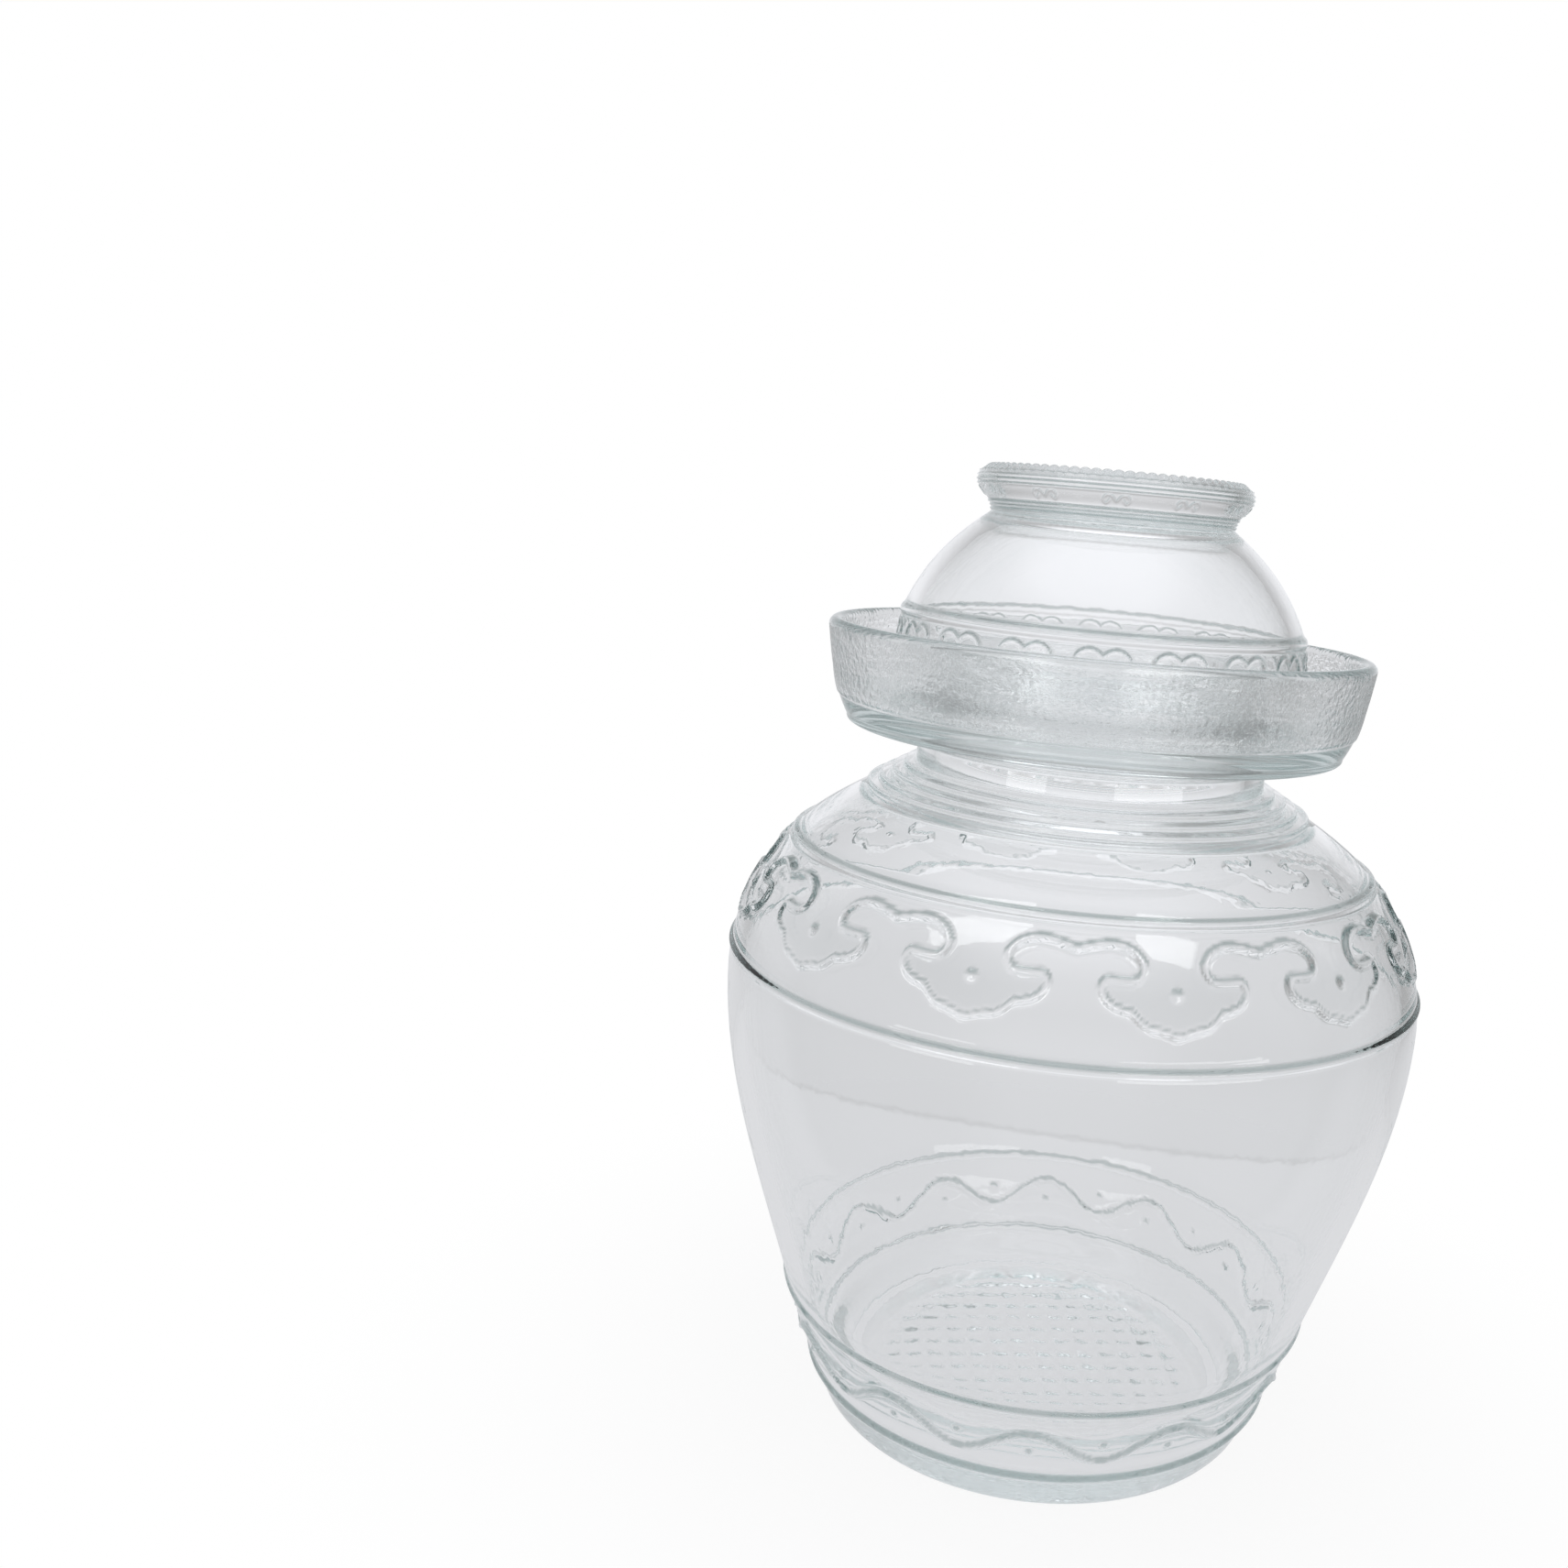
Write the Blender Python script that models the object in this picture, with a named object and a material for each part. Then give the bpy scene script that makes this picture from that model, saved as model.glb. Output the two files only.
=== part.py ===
"""Glass pickle jar with a water moat round its neck and a bowl-shaped lid, in metres, +Z up.

The jar stands on its foot ring, centred on the origin. Four pieces stack along +Z: the moulded jar body, a
thin seal on its neck, the pressed moat ring that the seal bonds to the neck, and the loose lid, whose rim
stands in the moat. Each piece is a section turned round +Z. Two lines are raised on the body: a cloud
collar round its shoulder and a wave round its foot band.
"""

import math
from dataclasses import dataclass

import bmesh
import bpy

# Facets round every turned piece, and rows of points up its long curves
SIDES = 48
BODY_ROWS = 12
BODY_INSIDE_ROWS = 7
MOAT_ROWS = 4
DOME_ROWS = 5

# Gap left between pieces that touch
SEAT_GAP = 0.0003

# Jar body, outside radii from the foot upwards
FOOT_RADIUS = 0.0601
BAND_RADIUS = 0.0733
BELLY_RADIUS = 0.0950
SHOULDER_RADIUS = 0.0796
COLLAR_RADIUS = 0.0611

# Jar body, its whole height from foot to mouth and the heights that share it
BODY_HEIGHT = 0.2100
FOOT_HEIGHT = 0.0107
WAVE_BAND_HEIGHT = 0.0220
BELLY_BELT_RISE = 0.0065
FRIEZE_HEIGHT = 0.0299
SHOULDER_HEIGHT = 0.0134
COLLAR_HEIGHT = 0.0076
NECK_HEIGHT = 0.0103
MOUTH_HEIGHT = 0.0223

# Radius gained for each unit of height, where the wall's curves meet
FOOT_SLOPE = 0.467
BAND_SLOPE = 0.329
SHOULDER_SLOPE = -0.867
COLLAR_SLOPE = -1.636

# Jar body, glass thickness, neck and mouth
WALL = 0.0040
FLOOR_THICKNESS = 0.0080
FLOOR_CORNER = 0.0120
SHOULDER_BEND_SHARE = 0.33
MOUTH_BORE_RADIUS = 0.0423
MOUTH_WALL = 0.0035
LEDGE_HEIGHT = 0.0032
LEDGE_STEP = 0.0010
COLLAR_STEPS = 3
RISER_SHARE = 0.65
TREAD_ROUND_SHARE = 0.20

# Jar body, underside
FOOT_RING_WIDTH = 0.0050
FOOT_ROUND = 0.0022
PUSH_UP_HEIGHT = 0.0030
PUSH_UP_RUN = 0.0050
PUSH_UP_CROWN = 0.0012

# Raised belts: width and rise of each
FOOT_BELT = (0.0034, 0.0009)
BAND_BELT = (0.0026, 0.0007)
BELLY_BELT = (0.0026, 0.0007)
SHOULDER_BELT = (0.0026, 0.0007)
LID_BELT = (0.0026, 0.0008)
KNOB_BELT = (0.0013, 0.0005)

# Seal between the neck and the moat ring
SEAL_THICKNESS = 0.0010
SEAL_FILLET = 0.0022

# Moat ring
SEAT_WIDTH = 0.0017
MOAT_FOOT_RADIUS = 0.0682
MOAT_RIM_RADIUS = 0.0746
MOAT_FLOOR_THICKNESS = 0.0072
MOAT_DEPTH = 0.0195
MOAT_WALL = 0.0040
MOAT_FOOT_ROUND = 0.0014
MOAT_CORNER = 0.0035
MOAT_FOOT_SLOPE = 0.55
MOAT_RIM_SLOPE = 0.15

# Lid
LID_RIM_RADIUS = 0.0576
LID_BAND_RADIUS = 0.0552
LID_SKIRT_HEIGHT = 0.0234
LID_DOME_HEIGHT = 0.0279
LID_WAIST_RADIUS = 0.0334
LID_WAIST_HEIGHT = 0.0026
LID_WALL = 0.0040
LID_CROWN_THICKNESS = 0.0062
LID_BAND_SLOPE = -0.38
LID_WAIST_SLOPE = -1.35
RIM_ROUND_SHARE = 0.20

# The lid's foot ring, which serves as its knob
KNOB_RADIUS = 0.0377
KNOB_HEIGHT = 0.0103
KNOB_WALL = 0.0034
KNOB_EDGE_WIDTH = 0.0020
KNOB_ROLL_SHARE = 0.60

# Raised lines: repeats round the jar, width and rise, and how deep their root lies under the skin
MOTIFS = 12
CLOUD_WIDTH = 0.0032
CLOUD_RISE = 0.0009
WAVE_WIDTH = 0.0028
WAVE_RISE = 0.0008
LINE_ROOT = 0.0006

# Half a cloud, from the dip between its lobes to the tip of the shield: how far round towards the tip, and
# how far up the frieze
CLOUD_SHARES = (
    (0.00, 0.812),
    (0.22, 0.852),
    (0.46, 0.856),
    (0.65, 0.775),
    (0.64, 0.670),
    (0.50, 0.628),
    (0.29, 0.622),
    (0.29, 0.510),
    (0.47, 0.442),
    (0.68, 0.350),
    (1.00, 0.273),
)

# The wave line: its mean height and its swing as shares of the wave band, and its points in one wave
WAVE_MIDDLE_SHARE = 0.475
WAVE_SWING_SHARE = 0.190
WAVE_POINTS = 8

# Places along the height: the foot's are stacked from the ground up, the shoulder's from the mouth down,
# and the plain lower wall takes what is left between them
BAND_Z = FOOT_HEIGHT + WAVE_BAND_HEIGHT
MOUTH_Z = BODY_HEIGHT
SEAT_Z = MOUTH_Z - MOUTH_HEIGHT
NECK_Z = SEAT_Z - NECK_HEIGHT
COLLAR_Z = NECK_Z - COLLAR_HEIGHT
SHOULDER_Z = COLLAR_Z - SHOULDER_HEIGHT
BELLY_BELT_Z = SHOULDER_Z - FRIEZE_HEIGHT
BELLY_Z = BELLY_BELT_Z - BELLY_BELT_RISE
MOAT_BOTTOM_Z = SEAT_Z + SEAT_GAP
MOAT_FLOOR_Z = MOAT_BOTTOM_Z + MOAT_FLOOR_THICKNESS
MOAT_RIM_Z = MOAT_FLOOR_Z + MOAT_DEPTH
LID_RIM_Z = MOAT_FLOOR_Z + SEAT_GAP
LID_BAND_Z = LID_RIM_Z + LID_SKIRT_HEIGHT
LID_WAIST_Z = LID_BAND_Z + LID_DOME_HEIGHT
LID_CEILING_Z = LID_WAIST_Z - LID_WALL
KNOB_Z = LID_WAIST_Z + LID_WAIST_HEIGHT
TOP_Z = KNOB_Z + KNOB_HEIGHT

# Radii that follow from what fits inside them
SPIGOT_RADIUS = MOUTH_BORE_RADIUS + MOUTH_WALL
SEAL_BORE = SPIGOT_RADIUS + SEAT_GAP
SEAL_RADIUS = SEAL_BORE + SEAL_THICKNESS
MOAT_BORE = SEAL_RADIUS + SEAT_GAP
LEDGE_RADIUS = MOAT_BORE + SEAT_WIDTH
NECK_RADIUS = LEDGE_RADIUS - LEDGE_STEP


def spaced(start, end, count):
    """Values from start to end in a number of equal steps."""
    return [start + (end - start) * i / count for i in range(count + 1)]


def blend(start, start_way, end, end_way, u):
    """A cubic curve's value at share u, leaving start and reaching end along the given ways."""
    stay = 2 * u**3 - 3 * u**2 + 1
    leave = u**3 - 2 * u**2 + u
    arrive = u**3 - u**2
    return stay * start + leave * start_way + (1 - stay) * end + arrive * end_way


def bend(start, start_way, end, end_way, count):
    """Points inside a cubic curve between two points of a section, without its ends."""
    shares = spaced(0, 1, count)[1:-1]
    return [tuple(blend(start[k], start_way[k], end[k], end_way[k], u) for k in range(2)) for u in shares]


def arc(centre, radius, start, end, count):
    """Points of a section round a centre, from one angle to another in degrees."""
    angles = [math.radians(angle) for angle in spaced(start, end, count)]
    return [(centre[0] + radius * math.cos(a), centre[1] + radius * math.sin(a)) for a in angles]


@dataclass(frozen=True)
class Station:
    """A point that a turned wall passes through, with the radius it gains there for each unit of height."""

    z: float
    radius: float
    slope: float


@dataclass(frozen=True)
class Belt:
    """A raised ring on a wall: the height of its middle, its width along the wall and its rise."""

    z: float
    width: float
    rise: float


@dataclass(frozen=True)
class Wall:
    """A turned wall whose radius is a smooth function of height, with belts raised on it."""

    stations: tuple
    belts: tuple = ()

    def radius(self, z):
        """Radius of the plain wall at height z, along cubic curves between the stations."""
        index = sum(z >= station.z for station in self.stations) - 1
        index = min(len(self.stations) - 2, max(0, index))
        low, high = self.stations[index], self.stations[index + 1]
        rise = high.z - low.z
        return blend(low.radius, rise * low.slope, high.radius, rise * high.slope, (z - low.z) / rise)

    def slope(self, z):
        """Radius gained for each unit of height at z."""
        step = (self.stations[-1].z - self.stations[0].z) / 1000
        return (self.radius(z + step) - self.radius(z - step)) / (2 * step)

    def point(self, z, out=0.0):
        """(radius, height) of the wall's point at height z, moved out along its normal."""
        lean = math.hypot(1, self.slope(z))
        return (self.radius(z) + out / lean, z - out * self.slope(z) / lean)

    def rows(self, bottom, top, count):
        """Points up the wall, evenly spaced between bottom and top, each belt's four among them."""
        plain = [z for z in spaced(bottom, top, count) if all(abs(z - b.z) > b.width for b in self.belts)]
        rows = [(z, 0.0) for z in plain]
        for belt in self.belts:
            reach = belt.width / 2 / math.hypot(1, self.slope(belt.z))
            rows += [(belt.z - reach, 0.0), (belt.z - reach / 2, belt.rise)]
            rows += [(belt.z + reach / 2, belt.rise), (belt.z + reach, 0.0)]
        return [self.point(z, out) for z, out in sorted(rows)]


BODY_WALL = Wall(
    stations=(
        Station(0.0, FOOT_RADIUS, FOOT_SLOPE),
        Station(BAND_Z, BAND_RADIUS, BAND_SLOPE),
        Station(BELLY_Z, BELLY_RADIUS, 0.0),
        Station(SHOULDER_Z, SHOULDER_RADIUS, SHOULDER_SLOPE),
        Station(COLLAR_Z, COLLAR_RADIUS, COLLAR_SLOPE),
    ),
    belts=(
        Belt(FOOT_HEIGHT, *FOOT_BELT),
        Belt(BAND_Z, *BAND_BELT),
        Belt(BELLY_BELT_Z, *BELLY_BELT),
        Belt(SHOULDER_Z, *SHOULDER_BELT),
    ),
)
MOAT_OUTSIDE = Wall(
    stations=(
        Station(MOAT_BOTTOM_Z + MOAT_FOOT_ROUND, MOAT_FOOT_RADIUS, MOAT_FOOT_SLOPE),
        Station(MOAT_RIM_Z - MOAT_WALL / 2, MOAT_RIM_RADIUS, MOAT_RIM_SLOPE),
    ),
)
LID_DOME = Wall(
    stations=(
        Station(LID_BAND_Z, LID_BAND_RADIUS, LID_BAND_SLOPE),
        Station(LID_WAIST_Z, LID_WAIST_RADIUS, LID_WAIST_SLOPE),
    ),
)


def clean_scene():
    """Removes whatever the scene holds."""
    for obj in list(bpy.data.objects):
        bpy.data.objects.remove(obj, do_unlink=True)


def clear_material(name, colour, roughness):
    """A clear solid with a faint colour of its own."""
    material = bpy.data.materials.new(name)
    material.use_nodes = True
    shader = material.node_tree.nodes["Principled BSDF"]
    shader.inputs["Base Color"].default_value = (*colour, 1)
    shader.inputs["Roughness"].default_value = roughness
    shader.inputs["Metallic"].default_value = 0.0
    shader.inputs["Transmission Weight"].default_value = 1.0
    shader.inputs["IOR"].default_value = 1.5
    return material


def turned(name, section, material, closed):
    """A section in (radius, height) spun round +Z. One that isn't closed starts and ends on the axis."""
    bm = bmesh.new()
    verts = [bm.verts.new((radius, 0.0, z)) for radius, z in section]
    pairs = list(zip(verts, verts[1:]))
    if closed:
        pairs.append((verts[-1], verts[0]))
    edges = [bm.edges.new(pair) for pair in pairs]
    axis = {"cent": (0, 0, 0), "axis": (0, 0, 1), "angle": math.tau}
    bmesh.ops.spin(bm, geom=verts + edges, steps=SIDES, use_merge=True, **axis)
    bmesh.ops.remove_doubles(bm, verts=bm.verts, dist=SEAT_GAP / 100)
    bmesh.ops.recalc_face_normals(bm, faces=bm.faces)
    mesh = bpy.data.meshes.new(name)
    bm.to_mesh(mesh)
    bm.free()
    mesh.shade_smooth()
    mesh.set_sharp_from_angle(angle=math.radians(35))
    mesh.materials.append(material)
    obj = bpy.data.objects.new(name, mesh)
    bpy.context.collection.objects.link(obj)
    return obj


def body_underside():
    """From the axis out: the push-up, the flat ring that the jar stands on and the round edge outside it."""
    edge = (FOOT_RADIUS - FOOT_ROUND, 0.0)
    inner = (edge[0] - FOOT_RING_WIDTH, 0.0)
    hollow = (inner[0] - PUSH_UP_RUN, PUSH_UP_HEIGHT)
    points = [(0.0, PUSH_UP_HEIGHT + PUSH_UP_CROWN), hollow, inner, edge]
    return points + bend(edge, (FOOT_ROUND, 0.0), BODY_WALL.point(FOOT_ROUND), (0.0, FOOT_ROUND), 3)


def collar_stair():
    """The stepped collar on top of the shoulder: risers and treads that shrink to the neck."""
    run = (COLLAR_RADIUS - NECK_RADIUS) / (COLLAR_STEPS + 1)
    rise = COLLAR_HEIGHT / (COLLAR_STEPS + 1)
    points = []
    for step in range(COLLAR_STEPS + 1):
        radius, low = COLLAR_RADIUS - run * step, COLLAR_Z + rise * step
        points += [(radius, low + rise * RISER_SHARE), (radius - run * TREAD_ROUND_SHARE, low + rise)]
        if step < COLLAR_STEPS:
            points.append((radius - run, low + rise))
    return points


def neck_and_mouth():
    """The neck, the ledge that carries the moat ring, the spigot inside the moat and its rounded rim."""
    lip = MOUTH_WALL / 2
    ledge_z = SEAT_Z - LEDGE_HEIGHT
    points = [(NECK_RADIUS, ledge_z - LEDGE_STEP), (LEDGE_RADIUS, ledge_z)]
    points += [(LEDGE_RADIUS, SEAT_Z), (SPIGOT_RADIUS, SEAT_Z)]
    return points + arc((MOUTH_BORE_RADIUS + lip, MOUTH_Z - lip), lip, 0, 180, 4)


def body_inside():
    """The inner skin from the mouth's bore down to the middle of the floor."""
    top = COLLAR_Z - SHOULDER_HEIGHT * SHOULDER_BEND_SHARE
    low = FLOOR_THICKNESS + FLOOR_CORNER
    skin = [BODY_WALL.point(z, -WALL) for z in spaced(top, low, BODY_INSIDE_ROWS)]
    bore = (MOUTH_BORE_RADIUS, NECK_Z)
    reach = skin[0][0] - bore[0]
    points = [bore]
    points += bend(bore, (0.0, -reach), skin[0], (reach, reach / BODY_WALL.slope(top)), 4)
    points += skin
    floor = (skin[-1][0] - FLOOR_CORNER, FLOOR_THICKNESS)
    down = (-FLOOR_CORNER * BODY_WALL.slope(low), -FLOOR_CORNER)
    points += bend(skin[-1], down, floor, (-FLOOR_CORNER, 0.0), 3)
    return points + [floor, (0.0, FLOOR_THICKNESS + PUSH_UP_CROWN)]


def cloud_path():
    """The cloud line's points, as (angle, height), all the way round the shoulder."""
    half = math.pi / MOTIFS
    points = []
    for motif in range(MOTIFS):
        dip = 2 * half * motif - math.pi / 2
        points += [(dip + half * way, up) for way, up in CLOUD_SHARES]
        points += [(dip + half * (2 - way), up) for way, up in reversed(CLOUD_SHARES[1:-1])]
    return [(angle, BELLY_BELT_Z + FRIEZE_HEIGHT * up) for angle, up in points]


def wave_path():
    """The wave line's points, as (angle, height), all the way round the foot band."""
    middle = FOOT_HEIGHT + WAVE_BAND_HEIGHT * WAVE_MIDDLE_SHARE
    swing = WAVE_BAND_HEIGHT * WAVE_SWING_SHARE
    turns = [math.tau * i / (MOTIFS * WAVE_POINTS) for i in range(MOTIFS * WAVE_POINTS)]
    return [(turn - math.pi / 2, middle + swing * math.cos(MOTIFS * turn)) for turn in turns]


def on_wall(angle, z, out):
    """The point of the body's wall at an angle and a height, moved out along its normal."""
    radius, height = BODY_WALL.point(z, out)
    return (radius * math.cos(angle), radius * math.sin(angle), height)


def step_across(before, here, after, width):
    """The step from one side of a line to the other, as (angle, height), mitred where its path turns."""
    radius, lean = BODY_WALL.radius(here[1]), math.hypot(1, BODY_WALL.slope(here[1]))
    sides = []
    for start, end in ((before, here), (here, after)):
        x = math.remainder(end[0] - start[0], math.tau) * radius
        y = (end[1] - start[1]) * lean
        sides.append((-y / math.hypot(x, y), x / math.hypot(x, y)))
    x, y = sides[0][0] + sides[1][0], sides[0][1] + sides[1][1]
    mitre = width / max(1, x * sides[0][0] + y * sides[0][1])
    return (x * mitre / radius, y * mitre / lean)


def raised_line(name, path, width, rise):
    """A ridge along a closed path on the body's wall, rooted under its skin, to be fused with it."""
    bm = bmesh.new()
    rows = []
    for index, here in enumerate(path):
        turn, climb = step_across(path[index - 1], here, path[(index + 1) % len(path)], width)
        left = on_wall(here[0] - turn / 2, here[1] - climb / 2, -LINE_ROOT)
        right = on_wall(here[0] + turn / 2, here[1] + climb / 2, -LINE_ROOT)
        rows.append([bm.verts.new(point) for point in (left, on_wall(*here, rise), right)])
    for row, after in zip(rows, rows[1:] + rows[:1]):
        for k in range(3):
            bm.faces.new((row[k], row[(k + 1) % 3], after[(k + 1) % 3], after[k]))
    bmesh.ops.recalc_face_normals(bm, faces=bm.faces)
    mesh = bpy.data.meshes.new(name)
    bm.to_mesh(mesh)
    bm.free()
    line = bpy.data.objects.new(name, mesh)
    bpy.context.collection.objects.link(line)
    line.hide_render = True
    line.display_type = "WIRE"
    return line


def fuse(piece, form):
    """Joins a raised form to the piece that carries it."""
    union = piece.modifiers.new(form.name, "BOOLEAN")
    union.operation = "UNION"
    union.solver = "EXACT"
    union.object = form


def make_jar_body(material):
    """The moulded jar: one shell of glass from foot to mouth, with its two raised lines."""
    section = body_underside() + BODY_WALL.rows(FOOT_ROUND, COLLAR_Z, BODY_ROWS)
    section += collar_stair() + neck_and_mouth() + body_inside()
    body = turned("jar_body", section, material, closed=False)
    fuse(body, raised_line("cloud_line", cloud_path(), CLOUD_WIDTH, CLOUD_RISE))
    fuse(body, raised_line("wave_line", wave_path(), WAVE_WIDTH, WAVE_RISE))


def make_moat_seal(material):
    """The thin cured ring between neck and moat ring, with a fillet that lies on the moat's floor."""
    lap_z = MOAT_FLOOR_Z + SEAT_GAP
    lap = (SEAL_RADIUS + SEAL_FILLET, lap_z)
    tip = (SEAL_BORE, lap_z + SEAL_FILLET)
    section = [(SEAL_BORE, MOAT_BOTTOM_Z), (SEAL_RADIUS, MOAT_BOTTOM_Z), (SEAL_RADIUS, lap_z), lap]
    section += bend(lap, (-SEAL_FILLET, SEAL_FILLET / 2), tip, (0.0, SEAL_FILLET), 2)
    turned("moat_seal", section + [tip], material, closed=True)


def make_moat_ring(material):
    """The pressed dish round the neck that holds the sealing water."""
    bottom, top = (station.z for station in MOAT_OUTSIDE.stations)
    foot = (MOAT_FOOT_RADIUS - MOAT_FOOT_ROUND, MOAT_BOTTOM_Z)
    outside = MOAT_OUTSIDE.rows(bottom, top, MOAT_ROWS)
    section = [(MOAT_BORE, MOAT_BOTTOM_Z), foot]
    section += bend(foot, (MOAT_FOOT_ROUND, 0.0), outside[0], (0.0, MOAT_FOOT_ROUND), 2) + outside
    lean = math.degrees(math.atan(MOAT_RIM_SLOPE))
    section += arc(MOAT_OUTSIDE.point(top, -MOAT_WALL / 2), MOAT_WALL / 2, -lean, 180 - lean, 4)[1:-1]
    inside = [MOAT_OUTSIDE.point(z, -MOAT_WALL) for z in spaced(top, MOAT_FLOOR_Z + MOAT_CORNER, MOAT_ROWS)]
    floor = (inside[-1][0] - MOAT_CORNER, MOAT_FLOOR_Z)
    section += inside + bend(inside[-1], (0.0, -MOAT_CORNER), floor, (-MOAT_CORNER, 0.0), 3)
    turned("moat_ring", section + [floor, (MOAT_BORE, MOAT_FLOOR_Z)], material, closed=True)


def lid_inside():
    """The lid's inner skin, from the middle of its ceiling down to the rim."""
    dome = [LID_DOME.point(z, -LID_WALL) for z in spaced(LID_CEILING_Z, LID_BAND_Z, DOME_ROWS)]
    points = [(0.0, LID_CEILING_Z), (dome[0][0] - LID_WALL, LID_CEILING_Z)]
    inner = LID_RIM_RADIUS - LID_WALL
    edge = LID_WALL * RIM_ROUND_SHARE
    return points + dome + [(inner, LID_RIM_Z + edge), (inner + edge, LID_RIM_Z)]


def lid_outside():
    """The lid's outer skin from the rim to the waist, with the belt above its skirt."""
    edge = LID_WALL * RIM_ROUND_SHARE
    width, rise = LID_BELT
    points = [(LID_RIM_RADIUS - edge, LID_RIM_Z), (LID_RIM_RADIUS, LID_RIM_Z + edge)]
    points += [(LID_BAND_RADIUS, LID_BAND_Z - width / 2), (LID_BAND_RADIUS + rise, LID_BAND_Z - width / 4)]
    points += [(LID_BAND_RADIUS + rise, LID_BAND_Z + width / 4)]
    return points + LID_DOME.rows(LID_BAND_Z + width / 2, LID_WAIST_Z, DOME_ROWS)


def knob_outside():
    """The foot ring's outside, from the waist up: a fine belt, a flare, a roll and a narrow flat edge."""
    width, rise = KNOB_BELT
    middle = (LID_WAIST_Z + KNOB_Z) / 2
    points = [(LID_WAIST_RADIUS, middle - width / 2), (LID_WAIST_RADIUS + rise, middle - width / 4)]
    points += [(LID_WAIST_RADIUS + rise, middle + width / 4), (LID_WAIST_RADIUS, KNOB_Z)]
    flare = KNOB_RADIUS - LID_WAIST_RADIUS
    roll = (KNOB_RADIUS, KNOB_Z + KNOB_HEIGHT * KNOB_ROLL_SHARE)
    edge = (KNOB_RADIUS - KNOB_WALL + KNOB_EDGE_WIDTH, TOP_Z)
    points += bend(points[-1], (flare, flare), roll, (0.0, flare), 3) + [roll]
    return points + bend(roll, (0.0, flare), edge, (-flare, 0.0), 3) + [edge]


def knob_inside():
    """The foot ring's inside and the sunk panel that it frames, down to the axis."""
    top = (KNOB_RADIUS - KNOB_WALL, TOP_Z)
    panel = (top[0] - KNOB_WALL, LID_CEILING_Z + LID_CROWN_THICKNESS)
    points = [top] + bend(top, (0.0, panel[1] - TOP_Z), panel, (-KNOB_WALL, 0.0), 3)
    return points + [panel, (0.0, panel[1])]


def make_lid(material):
    """The lid, a pressed bowl turned over, whose foot ring is its knob."""
    section = lid_inside() + lid_outside() + knob_outside() + knob_inside()
    turned("lid", section, material, closed=False)


def main():
    """Builds the four pieces."""
    clean_scene()
    make_jar_body(clear_material("body_glass", (0.88, 0.91, 0.91), 0.02))
    make_moat_seal(clear_material("clear_seal", (0.90, 0.92, 0.92), 0.15))
    make_moat_ring(clear_material("moat_glass", (0.84, 0.89, 0.89), 0.04))
    make_lid(clear_material("lid_glass", (0.88, 0.91, 0.91), 0.02))


if __name__ == "__main__":
    main()
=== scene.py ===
"""Looks of a glass pickle jar with a water moat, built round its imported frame, in metres, +Z up.

The jar, its moat ring, the seal between them and the lid are turned afresh with fine rounds. They carry the
relief that their moulds give them, and each stands for the frame's node of the same place. The studio is pale
and soft.
"""

import logging
import math
from collections.abc import Callable
from dataclasses import dataclass
from enum import Enum

import bmesh
import bpy
import numpy as np
from mathutils import Matrix, Vector


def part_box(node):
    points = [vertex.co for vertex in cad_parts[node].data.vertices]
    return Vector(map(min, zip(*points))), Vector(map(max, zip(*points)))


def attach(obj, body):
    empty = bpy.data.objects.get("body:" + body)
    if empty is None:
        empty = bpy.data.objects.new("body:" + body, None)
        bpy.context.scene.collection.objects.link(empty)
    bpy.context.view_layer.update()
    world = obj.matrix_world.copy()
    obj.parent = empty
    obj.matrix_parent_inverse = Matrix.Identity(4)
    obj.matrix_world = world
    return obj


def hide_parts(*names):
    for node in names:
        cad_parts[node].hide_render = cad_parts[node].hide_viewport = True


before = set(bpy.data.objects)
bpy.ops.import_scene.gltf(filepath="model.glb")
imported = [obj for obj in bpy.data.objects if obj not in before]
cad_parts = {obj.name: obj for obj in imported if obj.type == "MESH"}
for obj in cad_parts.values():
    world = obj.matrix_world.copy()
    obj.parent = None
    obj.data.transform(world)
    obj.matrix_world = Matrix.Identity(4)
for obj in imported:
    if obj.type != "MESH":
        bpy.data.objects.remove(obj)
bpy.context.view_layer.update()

log = logging.getLogger("pickle_jar")

MM = 0.001
Point = tuple[float, float]
Array = np.ndarray
Relief = Callable[[np.ndarray, np.ndarray], np.ndarray]
Colour = tuple[float, float, float]
Nodes = bpy.types.NodeTree
Socket = bpy.types.NodeSocket
Sockets = dict[str, bpy.types.NodeSocket]


class Skin(Enum):
    """The attribute that marks a part of a piece's surface for its finish."""

    INSIDE = "inside_skin"
    HAMMERED = "hammered_skin"
    # the upper flanks of raised relief, which get painted shade in the glass's colour
    EDGE = "pressed_edge"


def blend(start: float, start_way: float, end: float, end_way: float, u: Array) -> Array:
    """A cubic curve's values at shares u, leaving start and reaching end along the given ways."""
    stay = 2 * u**3 - 3 * u**2 + 1
    return stay * start + (u**3 - 2 * u**2 + u) * start_way + (1 - stay) * end + (u**3 - u**2) * end_way


def smooth(x: Array, low: float, high: float) -> Array:
    """0 below low, 1 above high and a smooth rise between them."""
    share = np.clip((x - low) / (high - low), 0, 1)
    return share * share * (3 - 2 * share)


def mound(distance: Array, reach: float) -> Array:
    """A rounded form's share of its height at a distance from its middle, down to 0 at its reach."""
    return np.clip(1 - (distance / reach) ** 2, 0, None) ** 2


def ridge(distance: Array, crest: float, foot: float) -> Array:
    """A flat-topped ridge's share of its height: 1 out to its crest's edge, down to 0 at its foot."""
    return 1 - smooth(distance, crest, foot)


def spread(low: float, high: float, step: float) -> list[float]:
    """Values from low to high, ends included, no further apart than step."""
    count = max(1, math.ceil(abs(high - low) / step))
    return [low + (high - low) * i / count for i in range(count + 1)]


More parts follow.
